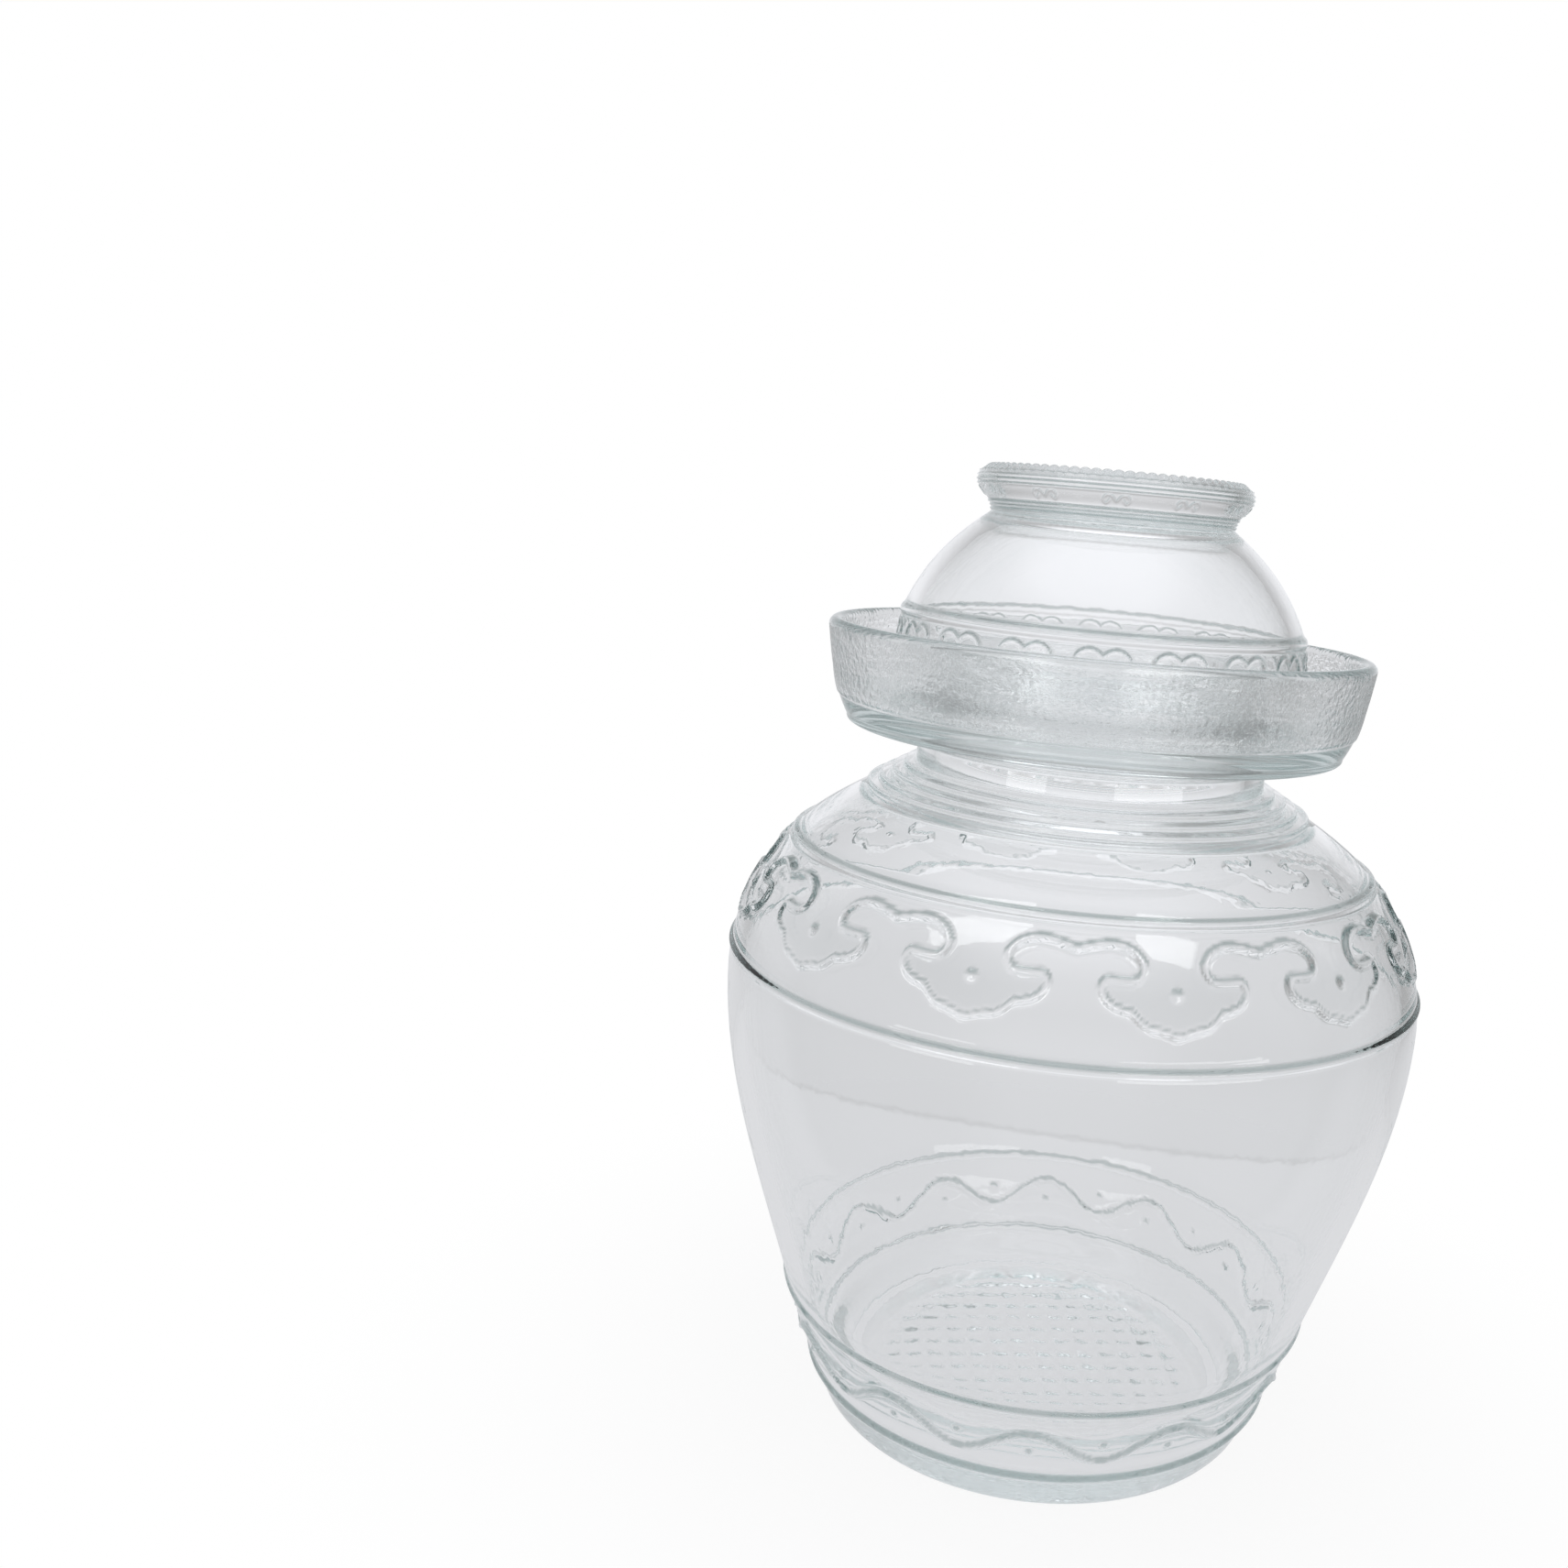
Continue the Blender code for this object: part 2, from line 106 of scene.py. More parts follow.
def rounded(corners: list[tuple[float, float, float]], step: float) -> list[Point]:
    """A section through corners whose edges are rounded.

    Args:
        corners: (radius, height, round) of each corner, where round is how far the rounding reaches.
        step: the most that two points of a straight stretch lie apart.

    Returns:
        The section's points, the first and last corner among them.
    """
    points: list[Point] = []
    spots = [np.array(corner[:2]) for corner in corners]
    for index, (spot, corner) in enumerate(zip(spots, corners)):
        if index in (0, len(corners) - 1) or corner[2] <= 0:
            stops = [spot]
        else:
            legs = [spots[index - 1] - spot, spots[index + 1] - spot]
            reach = [min(corner[2], np.hypot(*leg) / 2) / np.hypot(*leg) for leg in legs]
            first, last = spot + legs[0] * reach[0], spot + legs[1] * reach[1]
            stops = [(1 - t) ** 2 * first + 2 * t * (1 - t) * spot + t * t * last for t in spread(0, 1, 0.2)]
        for stop in stops:
            if points:
                before = np.array(points[-1])
                gap = np.hypot(*(stop - before))
                if gap < 0.01 * MM:
                    continue
                points += [tuple(before + (stop - before) * t) for t in spread(0, 1, step / gap)[1:-1]]
            points.append((float(stop[0]), float(stop[1])))
    return points


@dataclass(frozen=True)
class Station:
    """A point that a turned wall passes through, with the radius it gains there for each unit of height."""

    z: float
    radius: float
    slope: float


@dataclass(frozen=True)
class Wall:
    """A turned wall whose radius is a smooth function of height."""

    stations: tuple[Station, ...]

    def radius(self, z: Array) -> Array:
        """The wall's radius.

        Args:
            z: heights.

        Returns:
            The radius at each height, on a smooth curve through the stations.
        """
        z = np.asarray(z, float)
        table = np.array([(station.z, station.radius, station.slope) for station in self.stations])
        index = np.clip(np.searchsorted(table[:, 0], z, side="right") - 1, 0, len(table) - 2)
        low, top = table[index], table[index + 1]
        rise = top[..., 0] - low[..., 0]
        share = (z - low[..., 0]) / rise
        return blend(low[..., 1], rise * low[..., 2], top[..., 1], rise * top[..., 2], share)

    def slope(self, z: Array) -> Array:
        """Radius gained for each unit of height at heights z."""
        step = 0.1 * MM
        return (self.radius(np.asarray(z) + step) - self.radius(np.asarray(z) - step)) / (2 * step)

    def point(self, z: Array, out: Array = 0.0) -> tuple[Array, Array]:
        """Points of the wall, moved out along its normal.

        Args:
            z: their heights on the wall.
            out: how far out they are moved.

        Returns:
            Their radii and their heights after the move.
        """
        slope = self.slope(z)
        lean = np.hypot(1, slope)
        return self.radius(z) + out / lean, z - out * slope / lean

    def span(self, low: float, high: float, step: float, out: float = 0.0) -> list[Point]:
        """Points of a section up or down the wall from low to high, no further apart than step in height."""
        return [tuple(float(x) for x in self.point(z, out)) for z in spread(low, high, step)]


@dataclass(frozen=True)
class Belt:
    """A raised ring on a wall."""

    z: float
    width: float
    rise: float

    def height(self, z: Array) -> Array:
        """How far the belt stands out at heights z."""
        return self.rise * mound(z - self.z, self.width / 2)


@dataclass(frozen=True)
class RaisedLine:
    """A rounded ridge along a path that repeats round a wall and mirrors in the middle of each repeat.

    Its path is given for half a repeat, from the mirror line at share 0 to the one at share 1.
    """

    repeats: int
    low: float
    tall: float
    width: float
    rise: float
    shares: tuple[Point, ...]
    crest: float = 0.2
    turn: float = -math.pi / 2

    def path(self) -> Array:
        """The half path.

        Returns:
            Its (angle, height) points, on a smooth curve through the chosen shares.
        """
        half = math.pi / self.repeats
        knots = np.array([(way * half, self.low + up * self.tall) for way, up in self.shares])
        knots = np.vstack([2 * knots[0] - knots[1], knots, 2 * knots[-1] - knots[-2]])
        points = []
        for a, b, c, d in zip(knots, knots[1:], knots[2:], knots[3:]):
            for u in spread(0, 1, 0.125)[:-1]:
                points.append(blend(b, (c - a) / 2, c, (d - b) / 2, u))
        return np.array(points + [knots[-2]])

    def fold(self, angle: Array) -> Array:
        """Angles folded into the half repeat that the path is given for."""
        half = math.pi / self.repeats
        return np.abs((angle - self.turn + half) % (2 * half) - half)

    def distance(self, angle: Array, z: Array, wall: Wall) -> tuple[Array, Array]:
        """How far points of a wall lie from the line, and on which side.

        Args:
            angle: the points' angles about +Z.
            z: their heights.
            wall: the wall that they lie on.

        Returns:
            The distances along the wall, and 1 where a point lies to the left of the path, or -1.
        """
        path = self.path()
        radius, lean = wall.radius(z)[:, None], np.hypot(1, wall.slope(z))[:, None]
        start, way = path[:-1], path[1:] - path[:-1]
        ax, ay = radius * (self.fold(angle)[:, None] - start[:, 0]), lean * (z[:, None] - start[:, 1])
        sx, sy = radius * way[:, 0], lean * way[:, 1]
        share = np.clip((ax * sx + ay * sy) / (sx * sx + sy * sy), 0, 1)
        gap = np.hypot(ax - share * sx, ay - share * sy)
        best = (np.arange(len(gap)), gap.argmin(axis=1))
        return gap[best], np.where((sx * ay - sy * ax)[best] >= 0, 1, -1)

    def height(self, angle: Array, z: Array, wall: Wall) -> Array:
        """The ridge's relief.

        Args:
            angle: angles about +Z of points of a wall.
            z: their heights.
            wall: the wall that they lie on.

        Returns:
            How far the ridge stands out at each point.
        """
        near = (z > self.low - self.width) & (z < self.low + self.tall + self.width)
        out = np.zeros(len(z))
        if near.any():
            gap, half = self.distance(angle[near], z[near], wall)[0], self.width / 2
            out[near] = self.rise * ridge(gap, self.crest * half, half)
        return out


@dataclass(frozen=True)
class Dots:
    """A ring of round bosses on a wall."""

    repeats: int
    z: float
    radius: float
    rise: float
    turn: float = -math.pi / 2

    def height(self, angle: Array, z: Array, wall: Wall) -> Array:
        """The bosses' relief.

        Args:
            angle: angles about +Z of points of a wall.
            z: their heights.
            wall: the wall that they lie on.

        Returns:
            How far the bosses stand out at each point.
        """
        half = math.pi / self.repeats
        across = ((angle - self.turn + half) % (2 * half) - half) * wall.radius(z)
        along = (z - self.z) * np.hypot(1, wall.slope(z))
        return self.rise * mound(np.hypot(across, along), self.radius)


class TurnedGlass:
    """A section spun round +Z, refined where its relief is fine, and moved out by that relief."""

    def __init__(self, section: list[Point], sides: int, closed: bool) -> None:
        """Spins the section.

        Args:
            section: (radius, height) points. One that isn't closed starts and ends on the axis.
            sides: facets round the piece.
            closed: whether the section is a ring that never meets the axis.
        """
        self.bm = bmesh.new()
        self.sides = sides
        verts = [self.bm.verts.new((radius, 0.0, z)) for radius, z in section]
        pairs = list(zip(verts, verts[1:])) + ([(verts[-1], verts[0])] if closed else [])
        edges = [self.bm.edges.new(pair) for pair in pairs]
        axis = {"cent": (0, 0, 0), "axis": (0, 0, 1), "angle": math.tau}
        bmesh.ops.spin(self.bm, geom=verts + edges, steps=sides, use_merge=True, **axis)
        bmesh.ops.remove_doubles(self.bm, verts=self.bm.verts, dist=0.001 * MM)
        bmesh.ops.recalc_face_normals(self.bm, faces=self.bm.faces)

    def refine(self, wall: Wall, low: float, high: float, cuts: int) -> None:
        """Cuts rings of a wall's outside into more facets.

        Args:
            wall: the wall whose outside is refined.
            low: the height that the rings start over.
            high: the height that they end under.
            cuts: the number of cuts in each edge of a ring.
        """
        level, depth = 0.02 * MM, 0.2 * MM
        self.bm.verts.index_update()
        spots = np.array([vert.co for vert in self.bm.verts])
        radius, z = np.hypot(spots[:, 0], spots[:, 1]), spots[:, 2]
        outside = (z > low) & (z < high) & (radius > wall.radius(z) - depth)
        rings = []
        for edge in self.bm.edges:
            a, b = (vert.index for vert in edge.verts)
            if outside[a] and outside[b] and abs(z[a] - z[b]) < level:
                rings.append(edge)
        bmesh.ops.subdivide_edges(self.bm, edges=rings, cuts=cuts)

    def settle(self, name: str) -> None:
        """Ends the operators: makes the mesh and takes its places up for the relief.

        Args:
            name: the mesh's name, which its object gets too.
        """
        self.mesh = bpy.data.meshes.new(name)
        self.bm.to_mesh(self.mesh)
        self.bm.free()
        flat = np.zeros(len(self.mesh.vertices) * 3)
        self.mesh.vertices.foreach_get("co", flat)
        self.spots = flat.reshape(-1, 3)
        # weights of the painted shade on the relief's upper flanks
        self.edge = np.zeros(len(self.spots))

    def raise_relief(self, wall: Wall, low: float, high: float, height: Relief) -> None:
        """Moves a wall's outside onto its curve and out by its relief, and marks the upper flanks for painted
        shade.

        Args:
            wall: the wall whose outside is raised.
            low: the lowest height that moves.
            high: the highest height that moves.
            height: the relief's height as a function of angle and height.
        """
        depth, step = 0.6 * MM, 0.3 * MM
        radius, z = np.hypot(self.spots[:, 0], self.spots[:, 1]), self.spots[:, 2]
        moved = np.flatnonzero((z > low) & (z < high) & (radius > wall.radius(z) - depth))
        angle, z = np.arctan2(self.spots[moved, 1], self.spots[moved, 0]), z[moved]
        # upper flanks, where the relief falls with height, are weighted for painted shade
        self.edge[moved] = np.clip((height(angle, z - step) - height(angle, z + step)) / step, 0, 1)
        radius, level = wall.point(z, height(angle, z))
        self.spots[moved] = np.stack([radius * np.cos(angle), radius * np.sin(angle), level], axis=1)

    def finish(self, material: bpy.types.Material, marks: dict[Skin, Relief]) -> bpy.types.Object:
        """Makes the object.

        Args:
            material: its finish.
            marks: for each marked skin, its weight as a function of radius and height.

        Returns:
            The object, smooth shaded, with its place in its mesh.
        """
        mesh = self.mesh
        mesh.vertices.foreach_set("co", self.spots.ravel())
        mesh.update()
        mesh.shade_smooth()
        mesh.materials.append(material)
        radius, z = np.hypot(self.spots[:, 0], self.spots[:, 1]), self.spots[:, 2]
        weights = {skin: weight(radius, z) for skin, weight in marks.items()} | {Skin.EDGE: self.edge}
        for skin, values in weights.items():
            attribute = mesh.attributes.new(skin.value, "FLOAT", "POINT")
            attribute.data.foreach_set("value", values.astype(np.float32))
        obj = bpy.data.objects.new(mesh.name, mesh)
        bpy.context.scene.collection.objects.link(obj)
        return obj


def group(name: str, inputs: dict[str, float], outputs: list[str]) -> tuple[Nodes, Sockets, Sockets]:
    """A shader node group.

    Args:
        name: the group's name.
        inputs: its number inputs and their defaults.
        outputs: its number outputs.

    Returns:
        The group, the sockets that its inputs arrive on and the ones that its outputs leave by.
    """
    tree = bpy.data.node_groups.new(name, "ShaderNodeTree")
    for label, value in inputs.items():
        tree.interface.new_socket(label, in_out="INPUT", socket_type="NodeSocketFloat").default_value = value
    for label in outputs:
        tree.interface.new_socket(label, in_out="OUTPUT", socket_type="NodeSocketFloat")
    arrive, leave = tree.nodes.new("NodeGroupInput"), tree.nodes.new("NodeGroupOutput")
    return tree, {k: arrive.outputs[k] for k in inputs}, {k: leave.inputs[k] for k in outputs}


def feed(tree: Nodes, socket: Socket, value: Socket | float | tuple) -> None:
    """Gives an input a link or a plain value.

    Args:
        tree: the tree that the input is in.
        socket: the input.
        value: an output to link, or a value of its own.
    """
    if isinstance(value, bpy.types.NodeSocket):
        tree.links.new(value, socket)
    else:
        socket.default_value = value


def node(tree: Nodes, kind: str, inputs: dict | None = None, **settings: object) -> bpy.types.Node:
    """A new shader node.

    Args:
        tree: the tree that it joins.
        kind: the name of its type without "ShaderNode".
        inputs: links or plain values for its inputs, by name or place.
        settings: its own settings, which are made before its inputs.

    Returns:
        The node.
    """
    made = tree.nodes.new(f"ShaderNode{kind}")
    for name, value in settings.items():
        setattr(made, name, value)
    for name, value in (inputs or {}).items():
        feed(tree, made.inputs[name], value)
    return made


def maths(tree: Nodes, operation: str, *values: Socket | float) -> Socket:
    """The result of a Math node."""
    return node(tree, "Math", dict(enumerate(values)), operation=operation).outputs["Value"]


def vector_maths(tree: Nodes, operation: str, *values: Socket | tuple) -> Socket:
    """The number that a Vector Math node gives."""
    return node(tree, "VectorMath", dict(enumerate(values)), operation=operation).outputs["Value"]


def mixed(tree: Nodes, share: Socket, first: Socket | tuple, second: Socket | tuple) -> Socket:
    """A colour that goes from the first to the second as a share goes from 0 to 1."""
    inputs = {"Factor": share, "A": first, "B": second}
    return node(tree, "Mix", inputs, data_type="RGBA").outputs["Result"]


def mask(tree: Nodes, skin: Skin) -> Socket:
    """The weight of a marked skin."""
    return node(tree, "Attribute", attribute_name=skin.value).outputs["Fac"]


def noise(tree: Nodes, spot: Socket, scale: Socket | float, detail: float, stretch: tuple = (1, 1, 1)) -> Socket:
    """A noise from -1 to 1 or so.

    Args:
        tree: the tree that it is made in.
        spot: the place that it is read at.
        scale: how fine it is, for each metre.
        detail: octaves over its first one.
        stretch: how much finer it is along each axis.

    Returns:
        Its value.
    """
    place = node(tree, "Mapping", {"Vector": spot, "Scale": stretch}).outputs["Vector"]
    texture = node(tree, "TexNoise", {"Vector": place, "Scale": scale, "Detail": detail})
    return maths(tree, "MULTIPLY_ADD", texture.outputs["Fac"], 2.0, -1.0)


def ripple_group() -> Nodes:
    """Glass ripple: a slow sag of the pressed skin and a finer drawn ripple.

    Returns:
        The group, which gives the height in metres.
    """
    tree, given, out = group("GlassRipple", {"Sag": 0.0, "Ripple": 0.0, "Ripple Scale": 100.0}, ["Height"])
    spot = node(tree, "TexCoord").outputs["Object"]
    slow = noise(tree, spot, scale=28.0, detail=1.0, stretch=(1, 1, 0.6))
    fine = noise(tree, spot, scale=given["Ripple Scale"], detail=1.0, stretch=(1, 1, 0.7))
    slow = maths(tree, "MULTIPLY", slow, given["Sag"])
    fine = maths(tree, "MULTIPLY", fine, given["Ripple"])
    tree.links.new(maths(tree, "ADD", slow, fine), out["Height"])
    return tree


def hammered_group() -> Nodes:
    """Hammered skin: an orange peel crossed by level streaks.

    Returns:
        The group, which gives the height in metres and a roughness.
    """
    inputs = {"Peel": 0.0, "Streak": 0.0, "Least Roughness": 0.0, "Most Roughness": 0.2}
    tree, given, out = group("HammeredSkin", inputs, ["Height", "Roughness"])
    spot = node(tree, "TexCoord").outputs["Object"]
    peel = maths(tree, "MULTIPLY", noise(tree, spot, scale=620.0, detail=2.0), given["Peel"])
    streak = noise(tree, spot, scale=90.0, detail=3.0, stretch=(1, 1, 6.5))
    patch = noise(tree, spot, scale=55.0, detail=2.0, stretch=(1, 1, 2.0))
    tree.links.new(maths(tree, "MULTIPLY_ADD", streak, given["Streak"], peel), out["Height"])
    share = maths(tree, "MULTIPLY_ADD", maths(tree, "ADD", streak, patch), 0.5, 0.5)
    reach = maths(tree, "SUBTRACT", given["Most Roughness"], given["Least Roughness"])
    rough = maths(tree, "MULTIPLY_ADD", share, reach, given["Least Roughness"])
    tree.links.new(maths(tree, "MAXIMUM", rough, 0.0), out["Roughness"])
    return tree


@dataclass(frozen=True)
class GlassFinish:
    """Clear pressed glass with a faint green grey depth.

    Its heights are in metres, and its absorption is for each metre of glass.
    """

    name: str
    tint: Colour = (0.993, 0.997, 0.998)
    cord_depth: float = 0.985
    depth_colour: Colour = (0.38, 0.60, 0.59)
    depth_density: float = 2.2
    # painted shade: the darker colour given to the upper flanks of raised relief
    edge_tint: Colour = (0.36, 0.43, 0.42)
    roughness: float = 0.0
    sag: float = 0.03 * MM
    ripple: float = 0.004 * MM
    ripple_scale: float = 320.0
    inside_ripple: float = 0.006 * MM
    peel: float = 0.0
    streak: float = 0.0
    hammered_roughness: Point = (0.0, 0.0)

    def material(self) -> bpy.types.Material:
        """The finish as a material.

        Returns:
            The material, with its absorption as the volume.
        """
        material = bpy.data.materials.new(self.name)
        material.use_nodes = True
        tree = material.node_tree
        shader = tree.nodes["Principled BSDF"]
        shader.inputs["Transmission Weight"].default_value = 1.0
        shader.inputs["Metallic"].default_value = 0.0
        shader.inputs["IOR"].default_value = 1.5
        self.colour(tree, shader)
        self.skin(tree, shader)
        depth = node(tree, "VolumeAbsorption", {"Color": (*self.depth_colour, 1), "Density": self.depth_density})
        tree.links.new(depth.outputs["Volume"], tree.nodes["Material Output"].inputs["Volume"])
        return material

    def colour(self, tree: Nodes, shader: bpy.types.Node) -> None:
        """Colours the glass with faint cords of a slightly deeper tint, and paints shade on the upper flanks of
        its relief.

        Args:
            tree: the material's nodes.
            shader: its glass.
        """
        spot = node(tree, "TexCoord").outputs["Object"]
        cords = noise(tree, spot, scale=16.0, detail=2.0, stretch=(1, 1, 0.35))
        cords = maths(tree, "MULTIPLY_ADD", cords, 0.5, 0.5)
        deeper = (*(channel * self.cord_depth for channel in self.tint), 1)
        clear = mixed(tree, cords, (*self.tint, 1), deeper)
        # painted shade: the upper flanks of the relief take the darker colour where dark outlines would fall
        pressed = mixed(tree, mask(tree, Skin.EDGE), clear, (*self.edge_tint, 1))
        tree.links.new(pressed, shader.inputs["Base Color"])

    def skin(self, tree: Nodes, shader: bpy.types.Node) -> None:
        """Gives the glass its ripple, its rougher inside and its hammered outside.

        Args:
            tree: the material's nodes.
            shader: its glass.
        """
        depth = maths(tree, "MULTIPLY_ADD", mask(tree, Skin.INSIDE), self.inside_ripple, self.ripple)
        inputs = {"Sag": self.sag, "Ripple": depth, "Ripple Scale": self.ripple_scale}
        height = node(tree, "Group", inputs, node_tree=bpy.data.node_groups["GlassRipple"]).outputs["Height"]
        if self.peel:
            least, most = self.hammered_roughness
            inputs = {"Peel": self.peel, "Streak": self.streak, "Least Roughness": least, "Most Roughness": most}
            hammered = node(tree, "Group", inputs, node_tree=bpy.data.node_groups["HammeredSkin"])
            marked = mask(tree, Skin.HAMMERED)
            height = maths(tree, "MULTIPLY_ADD", hammered.outputs["Height"], marked, height)
            rough = maths(tree, "MULTIPLY", hammered.outputs["Roughness"], marked)
            tree.links.new(maths(tree, "ADD", rough, self.roughness), shader.inputs["Roughness"])
        else:
            shader.inputs["Roughness"].default_value = self.roughness
        bump = node(tree, "Bump", {"Distance": 1.0, "Height": height})
        tree.links.new(bump.outputs["Normal"], shader.inputs["Normal"])


@dataclass
class JarBody:
    """The moulded jar: its wall, its raised cloud collar and wave, its stepped neck and its waffled foot.

    Belts and raised lines are given as (width, rise), and dots as (radius, rise).
    """

    finish: GlassFinish
    sides: int = 180
    foot_radius: float = 60.1 * MM
    band_radius: float = 73.3 * MM
    belly_radius: float = 95.0 * MM
    shoulder_radius: float = 79.6 * MM
    collar_radius: float = 61.1 * MM
    neck_radius: float = 48.1 * MM
    spigot_radius: float = 45.8 * MM
    bore_radius: float = 42.3 * MM
    glass: float = 4.0 * MM
    floor: float = 8.0 * MM
    floor_corner: float = 20.0 * MM
    foot_round: float = 2.2 * MM
    ring_width: float = 5.0 * MM
    push_up: float = 2.2 * MM
    crown: float = 1.2 * MM
    vault: float = 22.0 * MM
    foot_belt_z: float = 10.7 * MM
    band_z: float = 32.7 * MM
    belly_z: float = 120.0 * MM
    belly_belt_z: float = 126.5 * MM
    shoulder_z: float = 156.4 * MM
    collar_z: float = 169.8 * MM
    neck_z: float = 177.4 * MM
    seat_z: float = 187.7 * MM
    mouth_z: float = 210.0 * MM
    bore_rise: float = 4.0 * MM
    foot_slope: float = 0.467
    band_slope: float = 0.329
    shoulder_slope: float = -0.867
    collar_slope: float = -1.636
    foot_belt: Point = (3.4 * MM, 0.9 * MM)
    band_belt: Point = (2.8 * MM, 0.75 * MM)
    belly_belt: Point = (3.2 * MM, 0.75 * MM)
    shoulder_belt: Point = (2.8 * MM, 0.75 * MM)
    motifs: int = 12
    cloud_line: Point = (2.8 * MM, 1.0 * MM)
    cloud_reach: Point = (0.273, 0.86)
    shield_rise: float = 1.0 * MM
    shield_hang: Point = (5.0 * MM, 24.0 * MM)
    shield_dot: Point = (1.9 * MM, 0.8 * MM)
    shield_dot_z: float = 142.9 * MM
    wave_line: Point = (2.6 * MM, 0.95 * MM)
    wave_z: float = 17.8 * MM
    wave_tall: float = 7.9 * MM
    wave_dot: Point = (1.3 * MM, 0.7 * MM)
    trough_dot_z: float = 22.9 * MM
    crest_dot_z: float = 19.9 * MM
    waffle_radius: float = 45.0 * MM
    waffle_pitch: float = 6.3 * MM
    waffle_turn: float = math.radians(10)
    waffle_rise: float = 0.5 * MM

    def wall(self) -> Wall:
        """The outside wall from the foot to the collar."""
        return Wall((
            Station(0.0, self.foot_radius, self.foot_slope),
            Station(self.band_z, self.band_radius, self.band_slope),
            Station(self.belly_z, self.belly_radius, 0.0),
            Station(self.shoulder_z, self.shoulder_radius, self.shoulder_slope),
            Station(self.collar_z, self.collar_radius, self.collar_slope),
        ))

    def belts(self) -> list[Belt]:
        """The four belts."""
        return [
            Belt(self.foot_belt_z, *self.foot_belt),
            Belt(self.band_z, *self.band_belt),
            Belt(self.belly_belt_z, *self.belly_belt),
            Belt(self.shoulder_z, *self.shoulder_belt),
        ]

    def cloud(self) -> RaisedLine:
        """The edge of the cloud collar.

        Returns:
            Its line, from the dip between two lobes to the tip of a shield.
        """
        shares = (
            (0.0, 0.812), (0.165, 0.842), (0.34, 0.86), (0.48, 0.848), (0.60, 0.81), (0.675, 0.75),
            (0.68, 0.70), (0.64, 0.65), (0.56, 0.627), (0.42, 0.627), (0.31, 0.628), (0.27, 0.59),
            (0.273, 0.545), (0.32, 0.495), (0.40, 0.457), (0.48, 0.44), (0.545, 0.428), (0.59, 0.405),
            (0.64, 0.368), (0.71, 0.334), (0.836, 0.313), (1.0, 0.273),
        )
        tall = self.shoulder_z - self.belly_belt_z
        return RaisedLine(self.motifs, self.belly_belt_z, tall, *self.cloud_line, shares)

    def wave(self) -> RaisedLine:
        """The wave round the foot band, from a crest to a trough."""
        shares = tuple((u, 0.5 + 0.5 * math.cos(math.pi * u)) for u in spread(0, 1, 0.1))
        return RaisedLine(self.motifs, self.wave_z, self.wave_tall, *self.wave_line, shares)

    def dots(self) -> list[Dots]:
        """The bosses over each trough and under each crest of the wave, and in each shield."""
        between = math.pi / self.motifs - math.pi / 2
        return [
            Dots(self.motifs, self.trough_dot_z, *self.wave_dot, between),
            Dots(self.motifs, self.crest_dot_z, *self.wave_dot),
            Dots(self.motifs, self.shield_dot_z, *self.shield_dot, between),
        ]

    def relief(self, angle: Array, z: Array) -> Array:
        """The mould's relief.

        Args:
            angle: angles about +Z of points of the wall.
            z: their heights.

        Returns:
            How far the relief stands out at each point.
        """
        wall, cloud = self.wall(), self.cloud()
        out = sum(belt.height(z) for belt in self.belts()) + self.wave().height(angle, z, wall)
        for dots in self.dots():
            out = out + dots.height(angle, z, wall)
        frieze = (z > self.belly_belt_z) & (z < self.shoulder_z)
        if frieze.any():
            gap, side = cloud.distance(angle[frieze], z[frieze], wall)
            half = cloud.width / 2
            hang = smooth(self.shoulder_z - z[frieze], *self.shield_hang)
            line = cloud.rise * ridge(gap, cloud.crest * half, half)
            out[frieze] += np.maximum(line, self.shield_rise * hang * smooth(gap * side, -half, half))
        return out

    def waffle(self, glass: TurnedGlass) -> None:
        """Presses the waffle into the underside.

        Args:
            glass: the turned jar.
        """
        x, y, z = glass.spots.T
        radius = np.hypot(x, y)
        under = (z < self.push_up + 2 * self.crown) & (radius < self.waffle_radius + 2 * MM)
        x, y, radius = x[under], y[under], radius[under]
        across = x * math.cos(self.waffle_turn) + y * math.sin(self.waffle_turn)
        along = y * math.cos(self.waffle_turn) - x * math.sin(self.waffle_turn)
        pitch = self.waffle_pitch / math.pi
        cells = np.abs(np.sin(across / pitch) * np.sin(along / pitch))
        glass.spots[under, 2] -= self.waffle_rise * cells * smooth(self.waffle_radius - radius, 0.0, 4 * MM)

    def section(self) -> list[Point]:
        """The whole section, whose steps are finer where relief crosses it.

        Returns:
            Its points from the middle of the underside round to the middle of the floor.
        """
        wall = self.wall()
        edge = self.foot_radius - self.foot_round
        inner = edge - self.ring_width
        radii = np.array(spread(0, inner, 0.8 * MM))
        under = list(zip(radii, self.push_up * (1 - smooth(radii, inner - self.vault, inner))))
        first = tuple(float(x) for x in wall.point(self.foot_round))
        corners = [(*under[-1], 0), (edge + 1.4 * MM, 0.0, 2 * MM), (*first, 0)]
        foot = rounded(corners, 2 * MM)
        up = wall.span(self.foot_round, self.foot_belt_z - 1.8 * MM, 2.5 * MM)
        zones = (
            (self.foot_belt_z + 1.8 * MM, 0.36 * MM),
            (self.wave_z - 2.2 * MM, 1.2 * MM),
            (self.wave_z + self.wave_tall + 2.2 * MM, 0.66 * MM),
            (self.band_z - 1.6 * MM, 1.2 * MM),
            (self.band_z + 1.6 * MM, 0.36 * MM),
            (self.belly_belt_z - 2.1 * MM, 4.5 * MM),
            (self.belly_belt_z + 2.1 * MM, 0.42 * MM),
            (self.frieze_low(), 0.9 * MM),
            (self.frieze_high(), 0.68 * MM),
            (self.shoulder_z - 1.5 * MM, 0.9 * MM),
            (self.shoulder_z + 1.5 * MM, 0.34 * MM),
            (self.collar_z, 1.6 * MM),
        )
        for high, step in zones:
            up += [(float(wall.radius(z)), z) for z in spread(up[-1][1], high, step)[1:]]
        return under + foot[1:] + up[1:] + self.neck()[1:] + self.inside()[1:]

